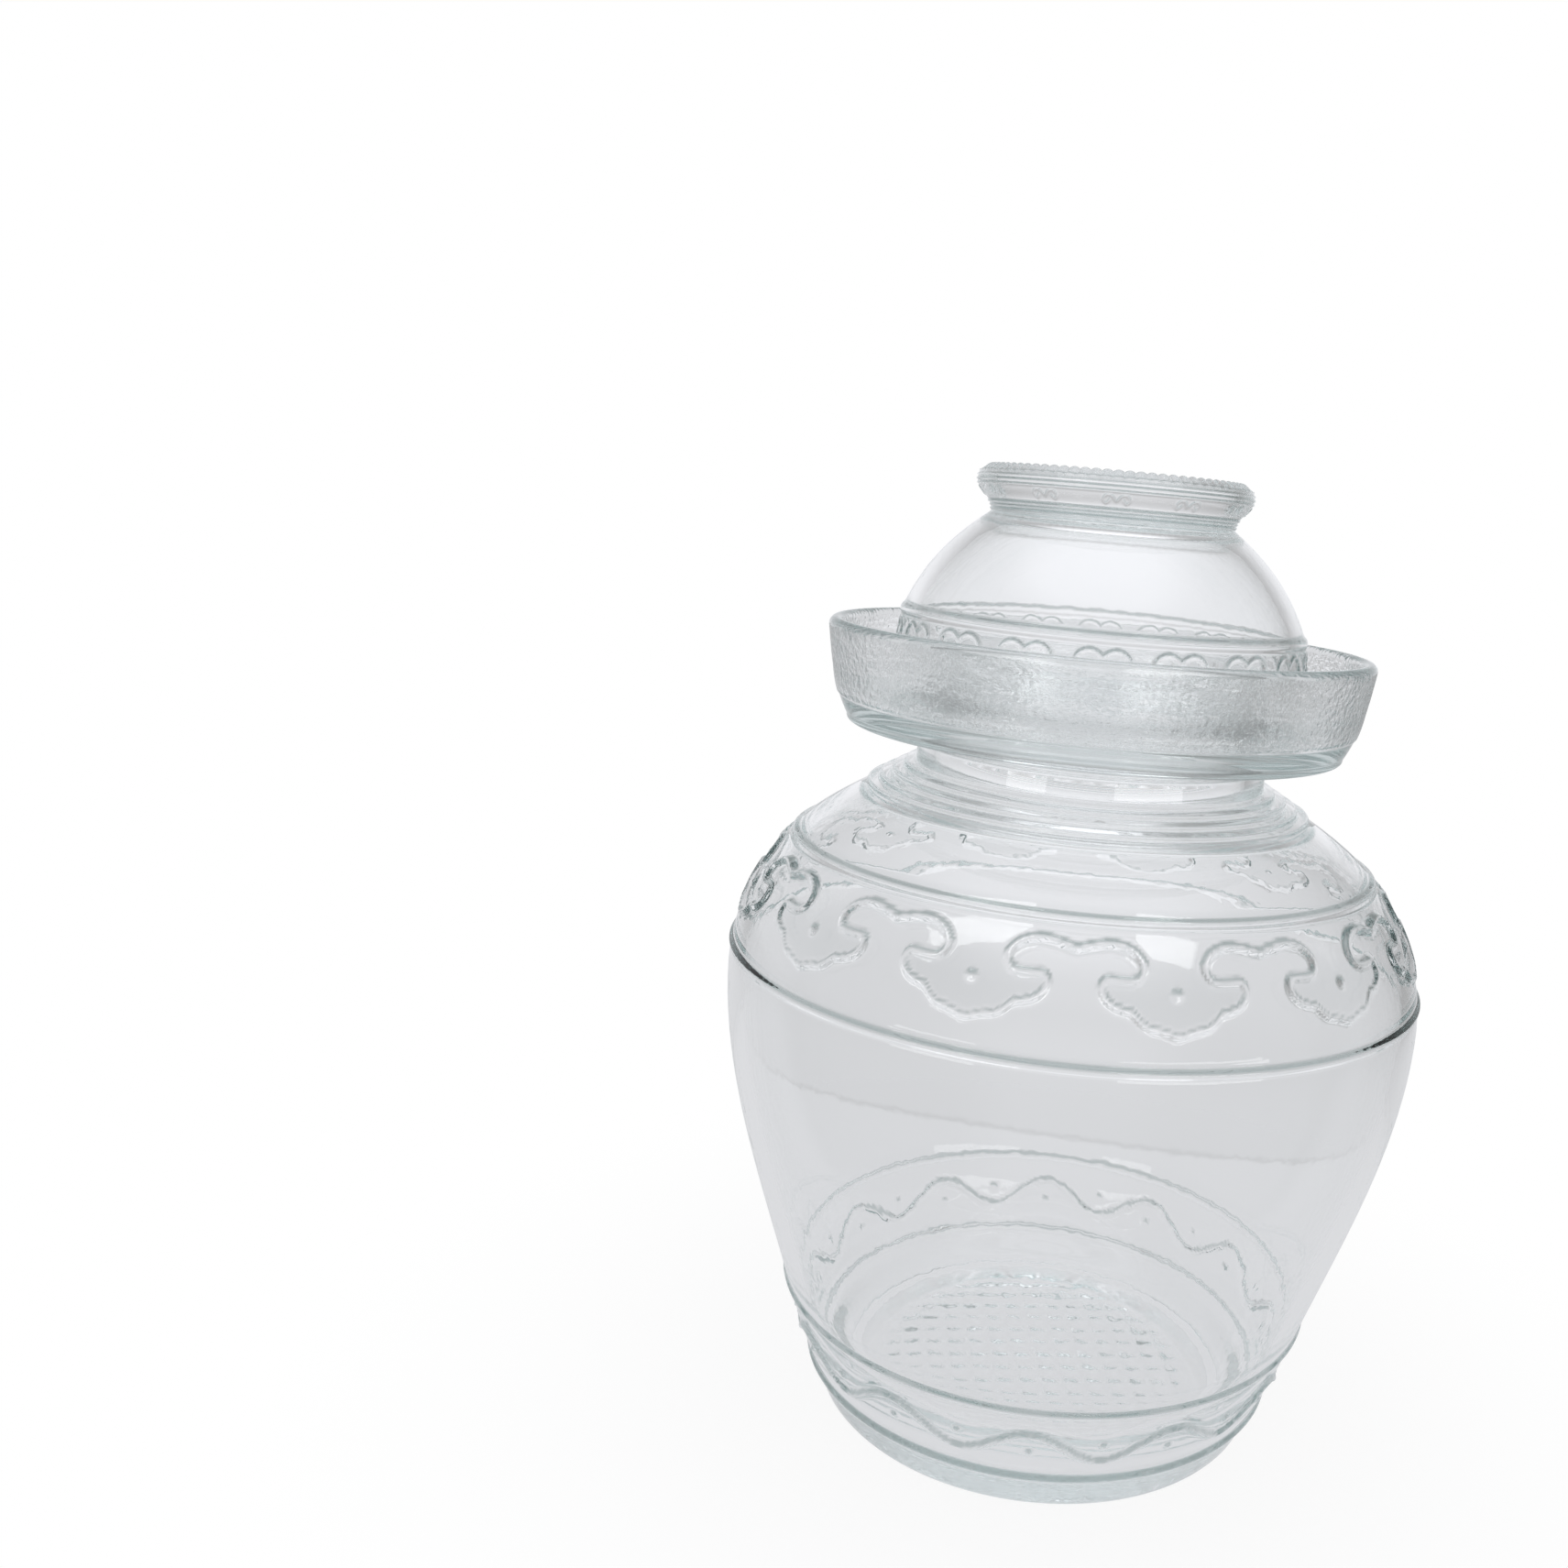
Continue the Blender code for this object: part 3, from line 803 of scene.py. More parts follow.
    def frieze_low(self) -> float:
        """The lowest height that the cloud collar's edge reaches."""
        cloud = self.cloud()
        return cloud.low + self.cloud_reach[0] * cloud.tall - cloud.width * 0.7

    def frieze_high(self) -> float:
        """The greatest height that the cloud collar's edge reaches."""
        cloud = self.cloud()
        return cloud.low + self.cloud_reach[1] * cloud.tall + cloud.width * 0.6

    def neck(self) -> list[Point]:
        """The stepped collar, the neck, the ledge under the moat ring, the spigot and its lip.

        Returns:
            The section's points from the collar up and over the lip.
        """
        steps = 4
        run = (self.collar_radius - self.neck_radius) / steps
        rise = (self.neck_z - self.collar_z) / steps
        corners = [(self.collar_radius, self.collar_z, 0)]
        for step in range(steps):
            radius, low = self.collar_radius - run * step, self.collar_z + rise * step
            corners += [(radius - 0.2 * MM, low + rise, 0.8 * MM), (radius - run, low + rise, 0.5 * MM)]
        ledge = self.seat_z - 3.2 * MM
        corners[-1] = (self.neck_radius, self.neck_z, 1.0 * MM)
        seat_radius = self.neck_radius + 1 * MM
        corners += [
            (self.neck_radius, ledge - 1.0 * MM, 0.8 * MM), (seat_radius, ledge, 0.4 * MM),
            (seat_radius, self.seat_z, 0.3 * MM), (self.spigot_radius, self.seat_z, 0.3 * MM),
            (self.spigot_radius, self.mouth_z, 1.7 * MM), (self.bore_radius, self.mouth_z, 1.7 * MM),
            (self.bore_radius, self.neck_z + self.bore_rise, 0),
        ]
        return rounded(corners, 2.5 * MM)

    def inside(self) -> list[Point]:
        """The inner skin, which follows the wall at the glass's thickness.

        Returns:
            The section's points from the bore down to the middle of the floor.
        """
        wall = self.wall()
        top, low = self.collar_z - 4.4 * MM, self.floor + self.floor_corner
        skin = wall.span(top, low, 5 * MM, -self.glass)
        bore = (self.bore_radius, self.neck_z + self.bore_rise)
        reach = skin[0][0] - bore[0]
        drop = reach / float(wall.slope(top))
        u = np.array(spread(0, 1, 0.1))
        radius = blend(bore[0], 0.0, skin[0][0], reach, u)
        points = list(zip(radius, blend(bore[1], -reach, skin[0][1], drop, u))) + skin[1:]
        start, end = skin[-1], (skin[-1][0] - self.floor_corner, self.floor)
        inward = -self.floor_corner * float(wall.slope(low))
        radius = blend(start[0], inward, end[0], -self.floor_corner, u)
        points += list(zip(radius, blend(start[1], -self.floor_corner, end[1], 0.0, u)))[1:]
        rest = [end[0] * (1 - share) for share in spread(0, 1, 0.125)[1:]]
        points += [(r, self.floor + self.crown * (1 - (r / end[0]) ** 2)) for r in rest]
        return [(float(r), float(z)) for r, z in points]

    def inside_weight(self, radius: Array, z: Array) -> Array:
        """1 on the inner skin, 0 on the outside."""
        wall = self.wall()
        return ((radius < wall.radius(z) - 2 * MM) & (z > self.floor - 1 * MM)).astype(float)

    def build(self) -> bpy.types.Object:
        """Turns, presses and dresses the jar.

        Returns:
            The jar.
        """
        wall = self.wall()
        glass = TurnedGlass(self.section(), self.sides, closed=False)
        glass.refine(wall, self.frieze_low() - 0.1 * MM, self.frieze_high() + 0.1 * MM, 4)
        glass.refine(wall, self.wave_z - 2.3 * MM, self.wave_z + self.wave_tall + 2.3 * MM, 2)
        glass.settle("jar_body_glass")
        glass.raise_relief(wall, self.foot_round, self.collar_z - 0.1 * MM, self.relief)
        self.waffle(glass)
        return glass.finish(self.finish.material(), {Skin.INSIDE: self.inside_weight})


@dataclass
class MoatSeal:
    """The thin cured ring that bonds the moat ring to the neck."""

    finish: GlassFinish
    sides: int = 160
    bore: float = 46.1 * MM
    thickness: float = 1.0 * MM
    fillet: float = 2.2 * MM

    def build(self) -> bpy.types.Object:
        """Turns the seal between the heights that its node has.

        Returns:
            The seal.
        """
        low, high = (corner.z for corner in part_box("moat_seal"))
        lap = high - self.fillet
        outer = self.bore + self.thickness
        corners = [
            (self.bore, low, 0), (outer, low, 0.2 * MM), (outer, lap, 0), (outer + self.fillet, lap, 0.2 * MM),
            (outer - 0.2 * MM, lap + self.fillet * 0.45, 1.2 * MM), (self.bore, high, 0.3 * MM),
            (self.bore, (low + high) / 2, 0),
        ]
        section = rounded(corners, 1.5 * MM)
        glass = TurnedGlass(section, self.sides, closed=True)
        glass.settle("moat_seal_bead")
        return glass.finish(self.finish.material(), {})


@dataclass
class MoatRing:
    """The pressed dish round the neck: a thick clear base under a hammered wall with one mould seam."""

    finish: GlassFinish
    sides: int = 300
    bore: float = 47.4 * MM
    foot_radius: float = 68.2 * MM
    rim_radius: float = 74.6 * MM
    foot_slope: float = 0.55
    rim_slope: float = 0.15
    glass: float = 4.0 * MM
    base: float = 7.2 * MM
    corner: float = 3.5 * MM
    foot_round: float = 1.4 * MM
    seam: float = math.radians(15.9 - 90)
    seam_rise: float = 0.15 * MM
    step_rise: float = 0.35 * MM

    def wall(self) -> Wall:
        """The outside wall between the rounds of the foot and of the rim.

        Returns:
            The wall, whose ends stand in from its node's by those rounds.
        """
        low, high = (corner.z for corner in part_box("moat_ring"))
        foot = Station(low + self.foot_round, self.foot_radius, self.foot_slope)
        return Wall((foot, Station(high - self.glass / 2, self.rim_radius, self.rim_slope)))

    def section(self) -> list[Point]:
        """The whole section.

        Returns:
            Its points from the bore's foot round to the bore's top.
        """
        wall = self.wall()
        low, top = wall.stations[0].z, wall.stations[1].z
        bottom = low - self.foot_round
        floor = bottom + self.base
        first = tuple(float(x) for x in wall.point(low))
        corners = [(self.bore, bottom, 0), (first[0] - 0.2 * MM, bottom, 1.2 * MM), (*first, 0)]
        points = rounded(corners, 2.5 * MM) + wall.span(low, floor - 0.8 * MM, 1.5 * MM)[1:]
        points += wall.span(floor - 0.8 * MM, floor + 0.8 * MM, 0.3 * MM)[1:]
        points += wall.span(floor + 0.8 * MM, top, 1.2 * MM)[1:]
        middle, half = [float(x) for x in wall.point(top, -self.glass / 2)], self.glass / 2
        lean = math.atan(self.rim_slope)
        for turn in spread(-lean, math.pi - lean, math.pi / 10)[1:-1]:
            points.append((middle[0] + half * math.cos(turn), middle[1] + half * math.sin(turn)))
        points += wall.span(top, floor + self.corner, 2.0 * MM, -self.glass)
        last = points[-1]
        corners = [(*last, 0), (last[0] - 0.4 * MM, floor, self.corner), (last[0] - self.corner, floor, 0)]
        return points + rounded(corners + [(self.bore, floor, 0)], 2.5 * MM)[1:]

    def relief(self, angle: Array, z: Array) -> Array:
        """The fine step where the hammered skin starts, level with the moat's floor, and the mould seam.

        Args:
            angle: angles about +Z of points of the wall.
            z: their heights.

        Returns:
            How far the relief stands out at each point.
        """
        floor = self.wall().stations[0].z - self.foot_round + self.base
        step = smooth(z, floor - 0.5 * MM, floor + 0.3 * MM) * (1 - smooth(z, floor + 1 * MM, floor + 8 * MM))
        seam = mound((angle - self.seam) * self.foot_radius, 1.6 * MM) * smooth(z, floor, floor + 1 * MM)
        return self.step_rise * step + self.seam_rise * seam

    def hammered(self, radius: Array, z: Array) -> Array:
        """Marks the hammered skin.

        Args:
            radius: radii of points of the piece.
            z: their heights.

        Returns:
            1 on the hammered outside, 0 on the clear glass.
        """
        wall = self.wall()
        floor, top = wall.stations[0].z - self.foot_round + self.base, wall.stations[1].z
        skin = (radius > wall.radius(z) - 0.8 * MM) * smooth(z, floor - 0.2 * MM, floor + 0.8 * MM)
        return skin * (1 - smooth(z, top - 0.5 * MM, top + 1 * MM))

    def build(self) -> bpy.types.Object:
        """Turns and dresses the moat ring.

        Returns:
            The moat ring.
        """
        wall = self.wall()
        glass = TurnedGlass(self.section(), self.sides, closed=True)
        glass.settle("moat_ring_glass")
        glass.raise_relief(wall, wall.stations[0].z + 0.1 * MM, wall.stations[1].z - 0.1 * MM, self.relief)
        return glass.finish(self.finish.material(), {Skin.HAMMERED: self.hammered})


@dataclass
class Lid:
    """The pressed lid: a bowl turned over, with a motif band round its skirt and a beaded foot ring as its knob.

    Raised lines are given as (width, rise).
    """

    finish: GlassFinish
    sides: int = 180
    glass: float = 4.0 * MM
    crown: float = 6.2 * MM
    rim_radius: float = 57.6 * MM
    band_radius: float = 55.2 * MM
    band_z: float = 218.9 * MM
    band_slope: float = -0.38
    band_rise: float = 0.5 * MM
    waist_radius: float = 33.4 * MM
    waist_z: float = 246.8 * MM
    waist_slope: float = -1.35
    roll_z: float = 255.2 * MM
    knob_radius: float = 37.7 * MM
    knob_wall: float = 3.4 * MM
    beads: int = 76
    bead_notch: float = 0.7 * MM
    bead_notch_out: float = 0.5 * MM
    motifs: int = 18
    motif_line: Point = (1.5 * MM, 0.42 * MM)
    motif_low: float = 210.8 * MM
    motif_tall: float = 5.2 * MM
    curls: int = 12
    curl_line: Point = (0.9 * MM, 0.3 * MM)
    curl_low: float = 250.7 * MM
    curl_tall: float = 2.9 * MM
    ridge_rise: float = 0.4 * MM
    ridge_reach: float = 0.42 * MM
    ridges: tuple[float, ...] = (
        247.6 * MM, 248.6 * MM, 249.6 * MM, 254.2 * MM, 255.3 * MM, 256.4 * MM, 257.5 * MM,
    )

    def rim_z(self) -> float:
        """Height of the lid's rim."""
        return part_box("lid")[0].z

    def top_z(self) -> float:
        """Height of the knob's edge."""
        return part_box("lid")[1].z

    def dome(self) -> Wall:
        """The outside wall of the bowl, from its belt to its waist."""
        belt = Station(self.band_z, self.band_radius, self.band_slope)
        return Wall((belt, Station(self.waist_z, self.waist_radius, self.waist_slope)))

    def skirt(self) -> Wall:
        """The outside wall of the skirt.

        Returns:
            The wall, straight from the rim to the belt.
        """
        slope = (self.band_radius - self.rim_radius) / (self.band_z - self.rim_z())
        rim = Station(self.rim_z(), self.rim_radius, slope)
        return Wall((rim, Station(self.band_z, self.band_radius, slope)))

    def flare(self) -> Wall:
        """The knob's outside: straight over the waist, a flare, its widest, and the round of its roll."""
        return Wall((
            Station(self.waist_z, self.waist_radius, 0.0),
            Station(self.waist_z + 2.4 * MM, self.waist_radius + 0.5 * MM, 0.5),
            Station(self.roll_z, self.knob_radius, 0.0),
            Station(self.top_z() - 1.3 * MM, self.knob_radius - 1.5 * MM, -1.3),
        ))

    def section(self) -> list[Point]:
        """The whole section.

        Returns:
            Its points from the middle of the ceiling down the inside, and up the outside to the panel's middle.
        """
        dome, skirt, flare = self.dome(), self.skirt(), self.flare()
        ceiling = self.waist_z - self.glass
        inner = dome.span(ceiling, self.band_z, 2 * MM, -self.glass)
        corners = [(0.0, ceiling, 0), (inner[0][0] - self.glass, ceiling, 0), (*inner[0], 0)]
        points = rounded(corners, 3 * MM) + inner[1:]
        rim, bore = self.rim_z(), self.rim_radius - self.glass
        last = skirt.span(rim + 2 * MM, rim + 2 * MM, 1)[0]
        corners = [(*inner[-1], 0), (bore, rim, 1.5 * MM), (self.rim_radius, rim, 1.5 * MM), (*last, 0)]
        points += rounded(corners, 2 * MM)[1:]
        low, high = self.motif_low - 1.2 * MM, self.motif_low + self.motif_tall + 1.2 * MM
        points += skirt.span(rim + 2 * MM, low, 2.5 * MM)[1:] + skirt.span(low, high, 0.5 * MM)[1:]
        points += skirt.span(high, self.band_z, 0.35 * MM)[1:]
        points += dome.span(self.band_z, self.band_z + 2.4 * MM, 0.35 * MM)[1:]
        points += dome.span(self.band_z + 2.4 * MM, self.waist_z, 1.6 * MM)[1:]
        return points + flare.span(self.waist_z, flare.stations[-1].z, 0.3 * MM)[1:] + self.knob_top()

    def knob_top(self) -> list[Point]:
        """The knob's narrow edge, its inner side and the sunk panel.

        Returns:
            The section's points from the edge in to the middle.
        """
        top, edge = self.top_z(), self.flare().stations[-1]
        bore = self.knob_radius - self.knob_wall
        panel = self.waist_z - self.glass + self.crown
        corners = [
            (edge.radius, edge.z, 0), (edge.radius - 1.5 * MM, top, 1.2 * MM), (bore - 0.4 * MM, top, 0.7 * MM),
            (bore - 1.2 * MM, panel, 3 * MM), (bore - 8 * MM, panel, 0), (0.0, panel, 0),
        ]
        return rounded(corners, 0.8 * MM)[1:]

    def motif(self) -> RaisedLine:
        """The small double cloud of the skirt, from the dip between its lobes out to its curled end."""
        shares = (
            (0.0, 0.66), (0.12, 0.86), (0.32, 1.0), (0.54, 0.88), (0.68, 0.55),
            (0.64, 0.2), (0.50, 0.05), (0.40, 0.22),
        )
        return RaisedLine(self.motifs, self.motif_low, self.motif_tall, *self.motif_line, shares, crest=0.1)

    def skirt_relief(self, angle: Array, z: Array) -> Array:
        """Relief of the skirt: its motif band and the lower half of its belt."""
        return self.motif().height(angle, z, self.skirt()) + self.belt(z)

    def belt(self, z: Array) -> Array:
        """The flat belt over the skirt, with soft edges."""
        low, high = self.band_z - 1.9 * MM, self.band_z + 2.0 * MM
        return self.band_rise * smooth(z, low, low + 1.3 * MM) * (1 - smooth(z, high - 1.6 * MM, high))

    def knob_relief(self, angle: Array, z: Array) -> Array:
        """Relief of the knob's outside: its fine ridges, its ring of curls and its beads.

        Args:
            angle: angles about +Z of points of the flare.
            z: their heights.

        Returns:
            How far the relief stands out at each point.
        """
        out = sum(self.ridge_rise * mound(z - middle, self.ridge_reach) for middle in self.ridges)
        shares = ((0.0, 0.35), (0.12, 0.8), (0.26, 0.9), (0.36, 0.5), (0.28, 0.15), (0.2, 0.45))
        curls = RaisedLine(self.curls, self.curl_low, self.curl_tall, *self.curl_line, shares, crest=0.1)
        notch = np.abs(np.cos(0.5 * self.beads * angle))
        notch = self.bead_notch_out * (1 - notch**0.6)
        beads = notch * smooth(z, self.roll_z + 2.0 * MM, self.roll_z + 3.0 * MM)
        return out + curls.height(angle, z, self.flare()) - beads

    def bead(self, glass: TurnedGlass) -> None:
        """Notches the knob's edge into beads, in line with those on its round.

        Args:
            glass: the turned lid.
        """
        x, y, z = glass.spots.T
        radius = np.hypot(x, y)
        edge = self.flare().stations[-1].z
        top = (z > edge + 0.05 * MM) & (radius > self.knob_radius - self.knob_wall - 0.7 * MM)
        notch = np.abs(np.cos(0.5 * self.beads * np.arctan2(y[top], x[top])))
        glass.spots[top, 2] -= self.bead_notch * (1 - notch**0.6)

    def inside_weight(self, radius: Array, z: Array) -> Array:
        """Marks the inner skin.

        Args:
            radius: radii of points of the piece.
            z: their heights.

        Returns:
            1 on the bowl's inside, 0 elsewhere.
        """
        dome, skirt = self.dome(), self.skirt()
        outside = np.where(z > self.band_z, dome.radius(np.minimum(z, self.waist_z)), skirt.radius(z))
        return ((radius < outside - 2 * MM) & (z < self.waist_z - self.glass + 0.5 * MM)).astype(float)

    def build(self) -> bpy.types.Object:
        """Turns, presses and dresses the lid.

        Returns:
            The lid.
        """
        dome, skirt, flare = self.dome(), self.skirt(), self.flare()
        glass = TurnedGlass(self.section(), self.sides, closed=False)
        glass.refine(skirt, self.motif_low - 1.3 * MM, self.motif_low + self.motif_tall + 1.3 * MM, 3)
        top = self.top_z() + 1 * MM
        upper = Wall((Station(self.waist_z, 0.0, 0.0), Station(top, self.knob_radius - self.knob_wall, 0.0)))
        glass.refine(upper, self.waist_z + 3.2 * MM, top, 3)
        glass.settle("lid_glass")
        glass.raise_relief(skirt, self.rim_z() + 2.1 * MM, self.band_z, self.skirt_relief)
        glass.raise_relief(dome, self.band_z, self.band_z + 3 * MM, lambda angle, z: self.belt(z))
        edge = flare.stations[-1].z
        glass.raise_relief(flare, self.waist_z + 0.05 * MM, edge + 0.02 * MM, self.knob_relief)
        self.bead(glass)
        return glass.finish(self.finish.material(), {Skin.INSIDE: self.inside_weight})


@dataclass(frozen=True)
class Viewpoint:
    """The photograph's camera, fitted to the jar's rings, with lengths in metres and angles in degrees."""

    distance: float = 417.4 * MM
    height: float = 246.9 * MM
    turn: float = -0.8
    yaw: float = -2.62
    pitch: float = 6.12
    roll: float = 5.03
    picture: float = 1711.0
    focal: float = 1654.4
    centre: Point = (1099.4, 736.1)
    sensor: float = 36.0

    def build(self) -> bpy.types.Object:
        """Makes the camera and sets it as the scene's.

        Returns:
            The camera.
        """
        turn, yaw, pitch, roll = (math.radians(a) for a in (self.turn, self.yaw, self.pitch, self.roll))
        place = Vector((math.sin(turn) * self.distance, -math.cos(turn) * self.distance, self.height))
        ahead = Vector((math.sin(yaw) * math.cos(pitch), math.cos(yaw) * math.cos(pitch), -math.sin(pitch)))
        level = Vector((math.cos(yaw), -math.sin(yaw), 0.0))
        upright = level.cross(ahead)
        right = math.cos(roll) * level + math.sin(roll) * upright
        up = -math.sin(roll) * level + math.cos(roll) * upright
        data = bpy.data.cameras.new("photo_view")
        data.sensor_width = self.sensor
        data.lens = self.sensor * self.focal / self.picture
        data.shift_x = (self.picture / 2 - self.centre[0]) / self.picture
        data.shift_y = (self.centre[1] - self.picture / 2) / self.picture
        data.clip_start = 0.01
        camera = bpy.data.objects.new("photo_view", data)
        camera.matrix_world = Matrix.Translation(place) @ Matrix((right, up, -ahead)).transposed().to_4x4()
        bpy.context.scene.collection.objects.link(camera)
        bpy.context.scene.camera = camera
        return camera


@dataclass(frozen=True)
class Softbox:
    """A large soft lamp that points at the jar's middle."""

    name: str
    azimuth: float
    elevation: float
    distance: float
    size: Point
    radiance: float

    def build(self) -> None:
        """Hangs the lamp. Azimuth 0 is the side that the photograph shows, and radiance 1 is a white wall's."""
        azimuth, elevation = math.radians(self.azimuth), math.radians(self.elevation)
        level = math.cos(elevation)
        way = Vector((math.sin(azimuth) * level, -math.cos(azimuth) * level, math.sin(elevation)))
        data = bpy.data.lights.new(self.name, "AREA")
        data.shape = "RECTANGLE"
        data.size, data.size_y = self.size
        data.energy = self.radiance * math.pi * self.size[0] * self.size[1]
        lamp = bpy.data.objects.new(self.name, data)
        lamp.location = way * self.distance + Vector((0, 0, 0.13))
        lamp.rotation_euler = way.to_track_quat("Z", "Y").to_euler()
        lamp.visible_camera = False
        bpy.context.scene.collection.objects.link(lamp)


@dataclass(frozen=True)
class Fade:
    """A strength that goes softly from one value at the start of a span to another at its end."""

    start: float
    end: float
    last: float
    first: float = 1.0

    def at(self, tree: Nodes, value: Socket) -> Socket:
        """The strength at a value."""
        ends = {"From Min": self.start, "From Max": self.end, "To Min": self.first, "To Max": self.last}
        return node(tree, "MapRange", {"Value": value} | ends, interpolation_type="SMOOTHSTEP").outputs["Result"]


def ramp(tree: Nodes, value: Socket, stops: tuple[Point, ...], tint: Colour) -> Socket:
    """A colour ramp of greys.

    Args:
        tree: the tree that it is made in.
        value: what it is read at.
        stops: the (place, grey) of each stop.
        tint: a colour that the greys are multiplied by.

    Returns:
        Its colour.
    """
    made = node(tree, "ValToRGB", {"Fac": value})
    elements = made.color_ramp.elements
    while len(elements) < len(stops):
        elements.new(0.5)
    for element, (position, _) in zip(elements, stops):
        element.position = position
    for element, (_, grey) in zip(elements, stops):
        element.color = (*(grey * channel for channel in tint), 1)
    return made.outputs["Color"]


@dataclass(frozen=True)
class Studio:
    """The pale floor, the soft surroundings and the lamps.

    The walls' greys go by height, from straight down at 0 to straight up at 1.
    """

    backdrop_in_glass: float = 0.35
    tint: Colour = (0.975, 0.98, 1.03)
    wall_greys: tuple[Point, ...] = (
        (0.0, 0.66), (0.5, 0.88), (0.56, 0.85), (0.64, 0.57),
        (0.72, 0.23), (0.84, 0.23), (0.92, 0.77), (1.0, 1.0),
    )
    wall_right: Fade = Fade(0.25, 0.85, 0.05)
    wall_left: Fade = Fade(-0.40, -0.95, 0.40)
    glow_way: tuple[float, float, float] = (0, -0.34, 0.94)
    glow: Fade = Fade(0.62, 0.92, 1.9)
    floor_reach: float = 3.0
    floor_tint: Colour = (0.9, 0.9, 0.9)
    shadow_end: Fade = Fade(0.06, 0.22, 1.0, 0.92)
    table_near: float = 0.60
    # grey of the painted shadow line in the crease where the table meets the wall
    table_line: float = 0.39
    table_beyond: float = 0.54
    table_far: float = 0.65
    table_back: float = 0.167
    table_far_y: float = 0.45
    table_turn: float = 0.09
    line_half: float = 0.0009
    line_soft: float = 0.0004
    table_right: Fade = Fade(0.12, 0.65, 0.15)
    table_left: Fade = Fade(-0.20, -0.80, 0.40)
    glass_bounces: int = 144
    mirror_bounces: int = 96
    lamps: tuple[Softbox, ...] = (
        Softbox("left_window", -39, -4.5, 0.7, (0.32, 0.11), 2.8),
        Softbox("right_window", 38, -4.5, 0.7, (0.57, 0.11), 2.8),
    )

    def over_backdrop(self, tree: Nodes, rest: bpy.types.Node, backdrop: bpy.types.Node) -> Socket:
        """Lays a backdrop over the rest: all of it for the camera, a share by reflection and through glass.

        Args:
            tree: the tree that both are in.
            rest: the shader that every other ray sees.
            backdrop: the shader that the camera sees.

        Returns:
            The shader that they make.
        """
        path = node(tree, "LightPath").outputs
        glass = maths(tree, "MAXIMUM", path["Is Glossy Ray"], path["Is Transmission Ray"])
        share = maths(tree, "MULTIPLY", glass, self.backdrop_in_glass)
        share = maths(tree, "MAXIMUM", path["Is Camera Ray"], share)
        return node(tree, "MixShader", {0: share, 1: rest.outputs[0], 2: backdrop.outputs[0]}).outputs[0]

    def surroundings(self) -> None:
        """A white backdrop, and behind it for glass a pale wall, darker above it, with light overhead."""
        world = bpy.data.worlds.new("studio")
        bpy.context.scene.world = world
        world.use_nodes = True
        tree = world.node_tree
        tree.nodes.clear()
        way = node(tree, "TexCoord").outputs["Generated"]
        axes = node(tree, "SeparateXYZ", {0: way}).outputs
        height = maths(tree, "MULTIPLY_ADD", axes["Z"], 0.5, 0.5)
        sides = maths(tree, "MULTIPLY", self.wall_right.at(tree, axes["X"]), self.wall_left.at(tree, axes["X"]))
        glow = self.glow.at(tree, vector_maths(tree, "DOT_PRODUCT", way, self.glow_way))
        strength = maths(tree, "MULTIPLY", sides, glow)
        grey = ramp(tree, height, self.wall_greys, self.tint)
        soft = node(tree, "Background", {"Color": grey, "Strength": strength})
        white = node(tree, "Background", {"Color": (1, 1, 1, 1)})
        node(tree, "OutputWorld", {"Surface": self.over_backdrop(tree, soft, white)})

    def floor(self) -> None:
        """A pale floor that keeps the jar's shadow near it and runs out into white."""
        bm = bmesh.new()
        bmesh.ops.create_circle(bm, cap_ends=True, segments=64, radius=self.floor_reach)
        mesh = bpy.data.meshes.new("studio_floor")
        bm.to_mesh(mesh)
        bm.free()
        floor = bpy.data.objects.new("studio_floor", mesh)
        bpy.context.scene.collection.objects.link(floor)
        mesh.materials.append(self.floor_material())

    def table(self, tree: Nodes, spot: Socket) -> bpy.types.Node:
        """The table that the glass shows, glowing pale grey: a painted shadow line at its back edge where it
        meets the wall, and paler again further off.

        Args:
            tree: the floor's nodes.
            spot: the place on the floor.

        Returns:
            The shader.
        """
        axes = node(tree, "SeparateXYZ", {0: spot}).outputs
        edge, half = self.table_back, self.line_half
        # the two stops at the back edge make the painted shadow line
        stops = (
            (0.0, self.table_near), (edge - half - self.line_soft, self.table_near),
            (edge - half, self.table_line), (edge + half, self.table_line),
            (edge + half + self.line_soft, self.table_beyond), (self.table_far_y, self.table_far),
            (1.0, self.table_far),
        )
        along = maths(tree, "MULTIPLY_ADD", axes["X"], self.table_turn, axes["Y"])
        sides = maths(tree, "MULTIPLY", self.table_right.at(tree, axes["X"]), self.table_left.at(tree, axes["X"]))
        return node(tree, "Emission", {"Color": ramp(tree, along, stops, self.tint), "Strength": sides})

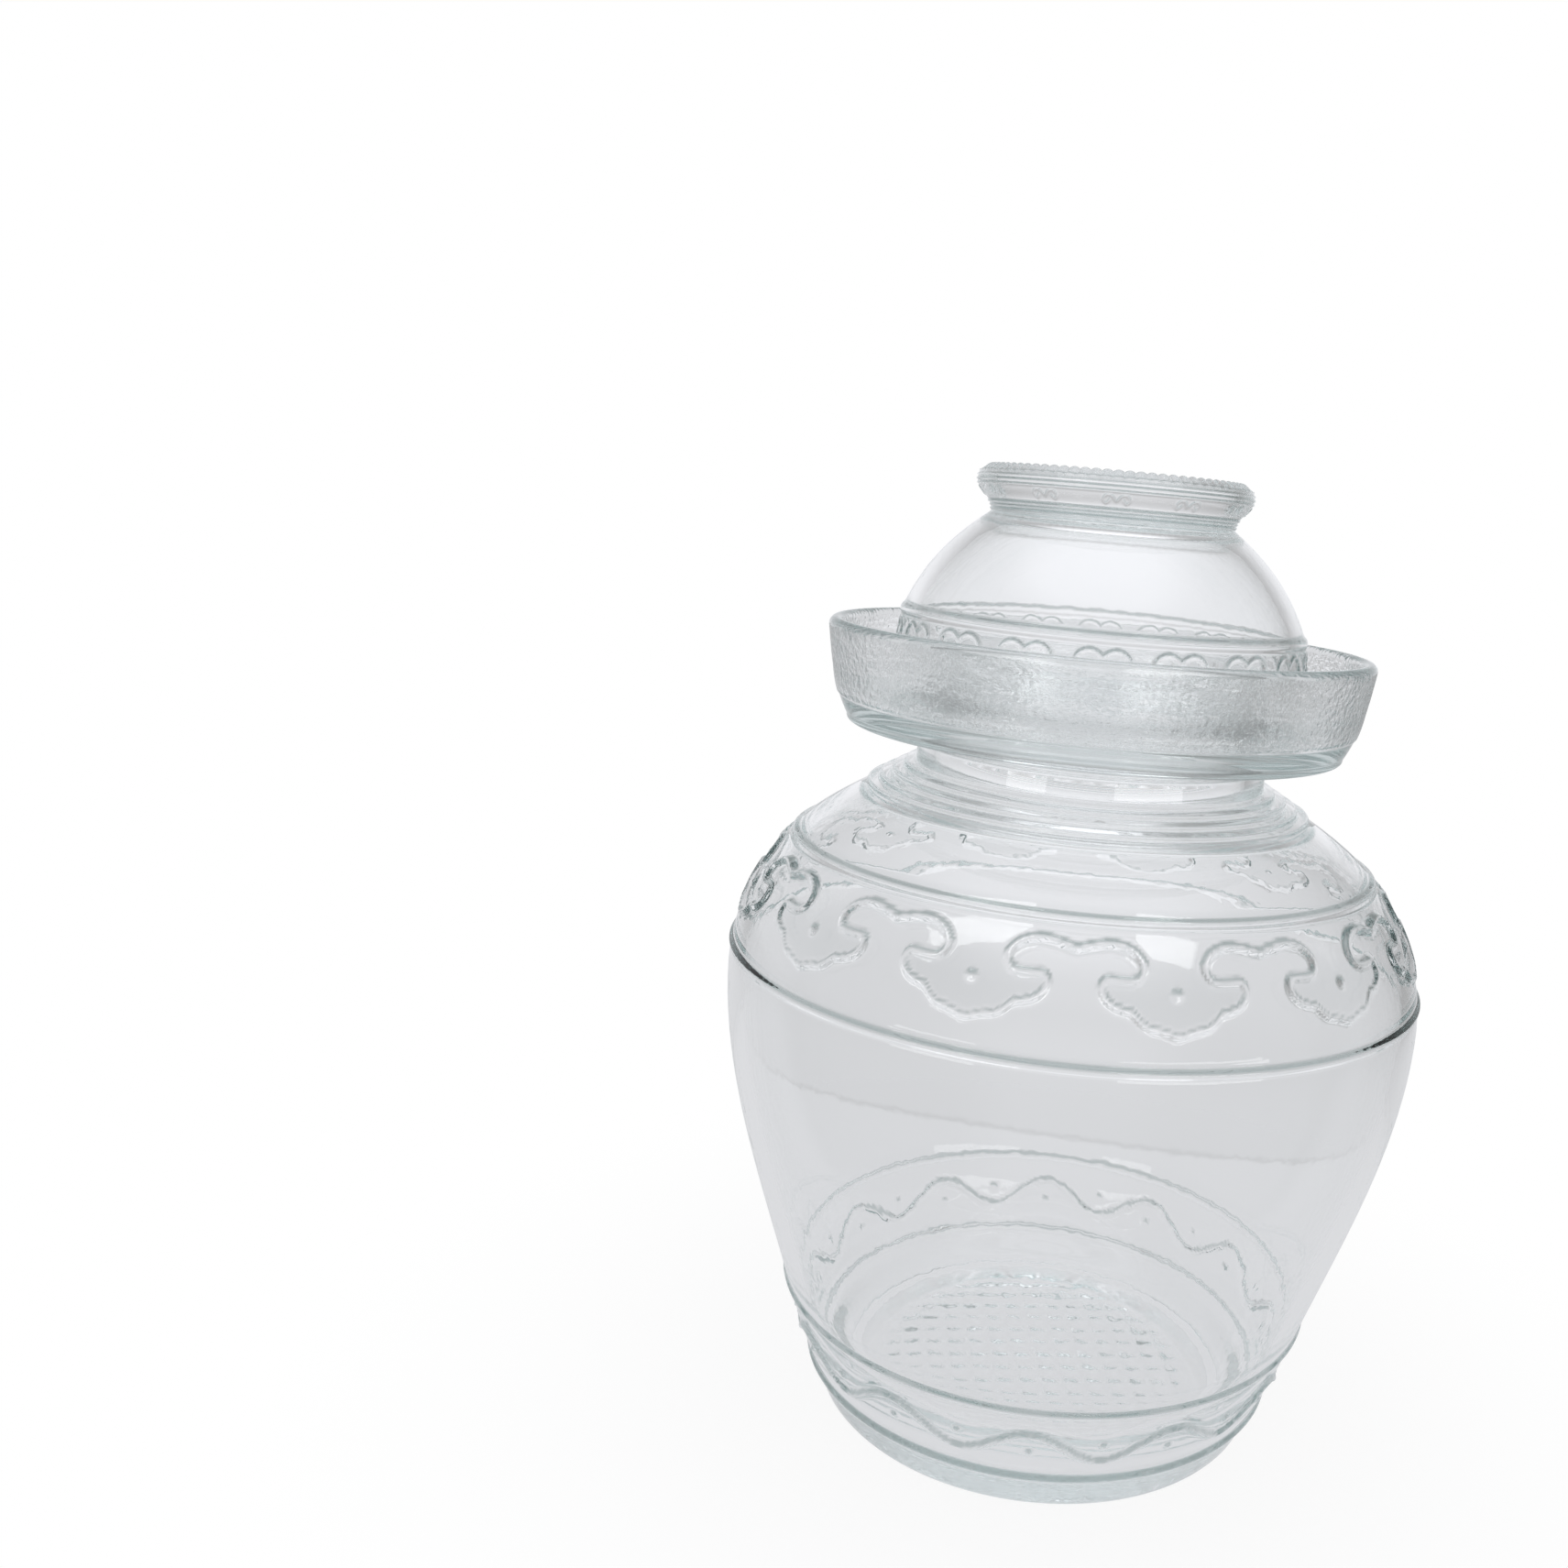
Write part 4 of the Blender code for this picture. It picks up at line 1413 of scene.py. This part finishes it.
    def floor_material(self) -> bpy.types.Material:
        """White with a soft shadow near the jar, laid over the table that shows in the glass.

        Returns:
            The material.
        """
        material = bpy.data.materials.new("pale_floor")
        material.use_nodes = True
        tree = material.node_tree
        tree.nodes.clear()
        spot = node(tree, "TexCoord").outputs["Object"]
        far = self.shadow_end.at(tree, vector_maths(tree, "LENGTH", spot))
        shaded = node(tree, "BsdfDiffuse", {"Color": (*self.floor_tint, 1)})
        white = node(tree, "Emission")
        seen = node(tree, "MixShader", {0: far, 1: shaded.outputs[0], 2: white.outputs[0]})
        node(tree, "OutputMaterial", {"Surface": self.over_backdrop(tree, self.table(tree, spot), seen)})
        return material

    def build(self) -> None:
        """Builds the studio."""
        scene = bpy.context.scene
        scene.view_settings.view_transform = "Standard"
        scene.cycles.transmission_bounces = self.glass_bounces
        scene.cycles.glossy_bounces = self.mirror_bounces
        scene.cycles.max_bounces = self.glass_bounces
        self.surroundings()
        self.floor()
        for lamp in self.lamps:
            lamp.build()


def place(piece: bpy.types.Object, body: str, cad_node: str, slot: str) -> None:
    """Lets a piece stand for a node and ride on its body.

    Args:
        piece: the piece.
        body: the body that it rides on.
        cad_node: the frame's node that it stands for.
        slot: its material slot, which is not used.
    """
    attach(piece, body)
    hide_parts(cad_node)
    log.info("%s stands for %s with %d faces", piece.name, cad_node, len(piece.data.polygons))


def main() -> None:
    """Builds the studio, the camera and the four pieces."""
    logging.basicConfig(level=logging.INFO)
    Viewpoint().build()
    Studio().build()
    ripple_group()
    hammered_group()
    place(JarBody(GlassFinish("body_glass_looks")).build(), "jar", "jar_body", "body_glass")
    seal = GlassFinish("clear_seal_looks", tint=(0.97, 0.975, 0.975), roughness=0.18, inside_ripple=0.0)
    place(MoatSeal(seal).build(), "jar", "moat_seal", "clear_seal")
    moat = GlassFinish(
        "moat_glass_looks", depth_density=6.0, peel=0.16 * MM, streak=0.13 * MM, hammered_roughness=(0.02, 0.20)
    )
    place(MoatRing(moat).build(), "jar", "moat_ring", "moat_glass")
    place(Lid(GlassFinish("lid_glass_looks")).build(), "lid", "lid", "lid_glass")


if __name__ == "__main__":
    main()
